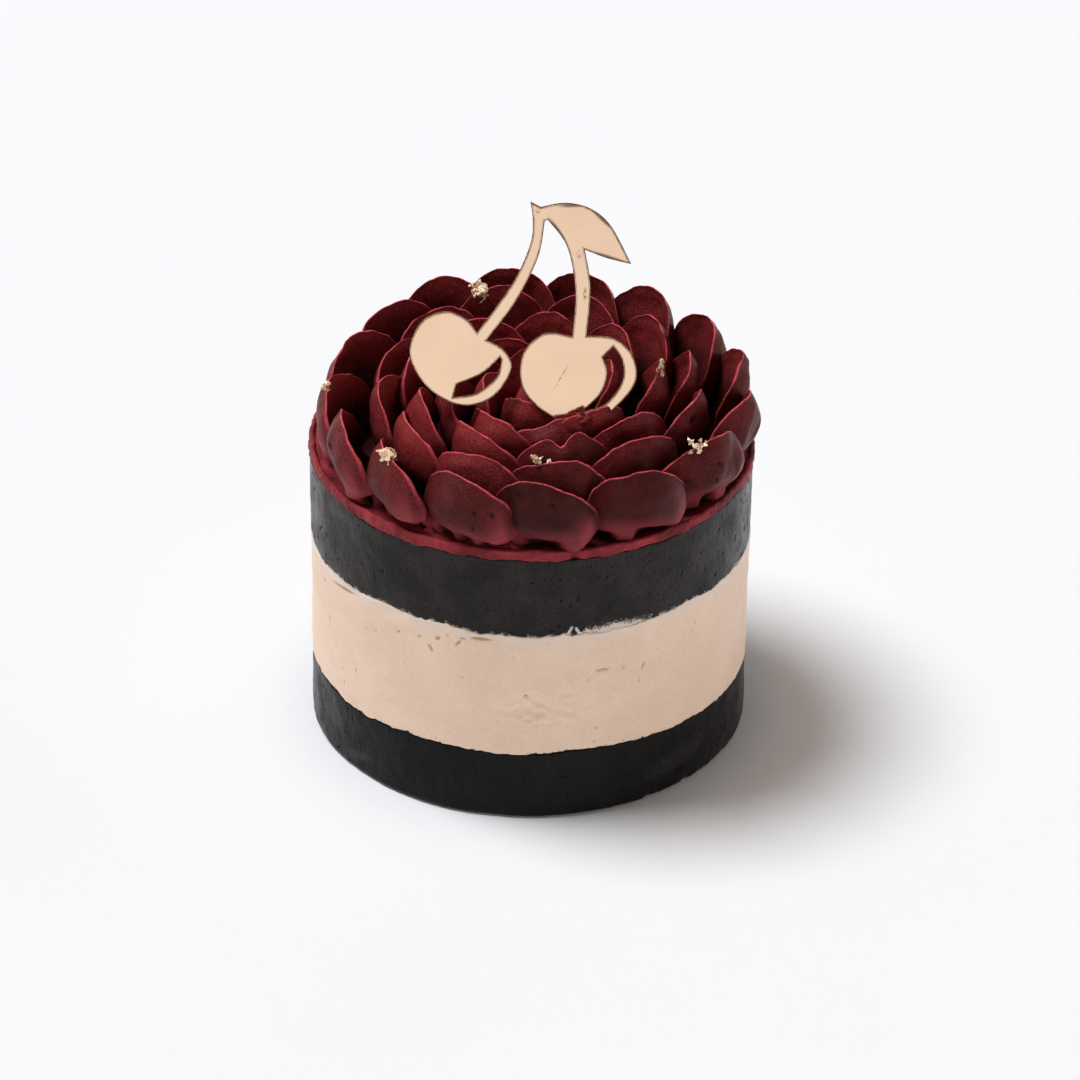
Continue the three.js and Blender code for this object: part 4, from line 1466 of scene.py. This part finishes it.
def make_topper():
    """The plate stands leaned back, with a dark cut edge, a painted glint on the border in front, a
    coat behind, and the mirror face as a thin sheet that is drawn in from the border."""
    lean = Matrix.Rotation(math.pi / 2 - TOPPER_LEAN, 4, "X")
    place = Matrix.Translation(Vector(TOPPER_PLACE) * MM)
    front = Vector((0, -math.cos(TOPPER_LEAN), math.sin(TOPPER_LEAN)))
    sheet_height = 2 * MIRROR_RISE
    joined = bmesh.new()
    for mesh, rise, front_face in (
        (flat_plate(TOPPER_THICKNESS - MIRROR_RISE, TOPPER_BEVEL, 0), -TOPPER_THICKNESS, ARRIS_FACE),
        (flat_plate(sheet_height, SHEET_BEVEL, MIRROR_INSET), -sheet_height, MIRROR_FACE),
    ):
        mesh.transform(place @ lean @ Matrix.Translation((0, 0, rise * MM)))
        mesh.materials.clear()
        for material in PLATE_FINISHES:
            mesh.materials.append(material)
        for polygon in mesh.polygons:
            facing = polygon.normal.dot(front)
            sideways = CUT_FACE if facing > -FLAT_ON else BACK_FACE
            polygon.material_index = front_face if facing > FLAT_ON else sideways
            polygon.use_smooth = False
        joined.from_mesh(mesh)
    joined.to_mesh(mesh)
    joined.free()
    mesh.name = "mirror_cherry_topper"
    piece = bpy.data.objects.new("mirror_cherry_topper", mesh)
    bpy.context.scene.collection.objects.link(piece)
    stand_in(piece, "topper_mirror", "cherry_topper")


make_topper()


# Floor, camera and light

FLOOR_HALF = 9000
FLOOR_DROP = 0.05
CAMERA_DISTANCE = 1200
CAMERA_ELEVATION = math.radians(31.56)
CAMERA_AIM_HEIGHT = 36
CAMERA_ROLL = math.radians(0.82)
CAMERA_CLIP = (0.05, 60)
IMAGE_SIZE = 1080
IMAGE_MIDDLE = (530.1, 567.4)
FOCAL_PIXELS = 5131.2
SENSOR = 36

SKY_COLOUR = (1.0, 0.935, 0.892, 1)
SKY_LEVEL = 0.38
SKY_FRONT_LEVEL = 0.06
SKY_FRONT_ELEVATION = math.radians(52)
BAND_LEVEL = 1.0
FILL_LEVEL = 0.75
FILL_FROM = (0.9, -0.43, 0.0)
KEY_STRENGTH = 2.68
KEY_SOFTNESS = math.radians(25)
KEY_FROM = (-0.395, 0.085, 0.913)
KEY_COLOUR = (0.93, 0.956, 1.0)


def make_floor():
    """A square just below the cake."""
    corners = np.array([[-1, -1, 0], [1, -1, 0], [1, 1, 0], [-1, 1, 0]]) * FLOOR_HALF - [0, 0, FLOOR_DROP]
    floor = make_piece("floor", corners, np.array([[0, 1, 2, 3]]), np.zeros((0, 3)), [floor_material])


def make_camera():
    """The camera stands in front, looks down on the cake, is rolled a little, and is then turned
    until its axis goes through the middle of the image."""
    level = Vector((0, math.cos(CAMERA_ELEVATION), 0))
    forward = level - Vector((0, 0, math.sin(CAMERA_ELEVATION)))
    upward = Vector((0, math.sin(CAMERA_ELEVATION), math.cos(CAMERA_ELEVATION)))
    across = Vector((1, 0, 0))
    right = across * math.cos(CAMERA_ROLL) + upward * math.sin(CAMERA_ROLL)
    above = upward * math.cos(CAMERA_ROLL) - across * math.sin(CAMERA_ROLL)
    shift_right = (IMAGE_SIZE / 2 - IMAGE_MIDDLE[0]) / FOCAL_PIXELS
    shift_up = (IMAGE_MIDDLE[1] - IMAGE_SIZE / 2) / FOCAL_PIXELS
    forward = (forward + right * shift_right + above * shift_up).normalized()
    right = (right - forward * right.dot(forward)).normalized()
    above = right.cross(forward)
    data = bpy.data.cameras.new("camera")
    data.sensor_width = SENSOR
    data.lens = FOCAL_PIXELS / IMAGE_SIZE * SENSOR
    data.clip_start, data.clip_end = CAMERA_CLIP
    camera = bpy.data.objects.new("camera", data)
    bpy.context.scene.collection.objects.link(camera)
    place = Vector((0, 0, CAMERA_AIM_HEIGHT)) - CAMERA_DISTANCE * Vector(
        (0, math.cos(CAMERA_ELEVATION), -math.sin(CAMERA_ELEVATION))
    )
    turn = Matrix((right, above, -forward)).transposed()
    camera.matrix_world = Matrix.Translation(place * MM) @ turn.to_4x4()
    bpy.context.scene.camera = camera


def make_sky():
    """Soft white surroundings: a bright band round the horizon, brighter still on the right, a
    moderate sky above it, and a dark patch high up in front."""
    world = bpy.data.worlds.new("soft_surroundings")
    bpy.context.scene.world = world
    world.use_nodes = True
    tree = world.node_tree
    tree.nodes.clear()
    direction = add_node(tree, "ShaderNodeTexCoord").outputs["Generated"]
    height = add_node(tree, "ShaderNodeSeparateXYZ", {"Vector": direction}).outputs["Z"]
    front_high = (0.0, -math.cos(SKY_FRONT_ELEVATION), math.sin(SKY_FRONT_ELEVATION))
    towards_front = direction_share(tree, direction, front_high)
    open_sky = ramp_of(tree, towards_front, 0.25, 0.75, SKY_LEVEL, SKY_FRONT_LEVEL)
    towards_fill = direction_share(tree, direction, FILL_FROM)
    band_level = ramp_of(tree, towards_fill, 0.45, 1.0, BAND_LEVEL, BAND_LEVEL + FILL_LEVEL)
    in_band = ramp_of(tree, height, 0.22, 0.5, 1.0, 0.0)
    level = add_node(tree, "ShaderNodeMix", {0: in_band, 2: open_sky, 3: band_level}).outputs[0]
    background = add_node(tree, "ShaderNodeBackground", {"Color": SKY_COLOUR, "Strength": level})
    add_node(tree, "ShaderNodeOutputWorld", {"Surface": background.outputs[0]})


def make_key_light():
    """A large soft light from the upper left."""
    data = bpy.data.lights.new("key", "SUN")
    data.energy = KEY_STRENGTH
    data.angle = KEY_SOFTNESS
    data.color = KEY_COLOUR
    light = bpy.data.objects.new("key", data)
    bpy.context.scene.collection.objects.link(light)
    light.rotation_mode = "QUATERNION"
    light.rotation_quaternion = Vector(KEY_FROM).to_track_quat("Z", "Y")


make_floor()
make_camera()
make_sky()
make_key_light()
bpy.context.scene.view_settings.view_transform = "Standard"
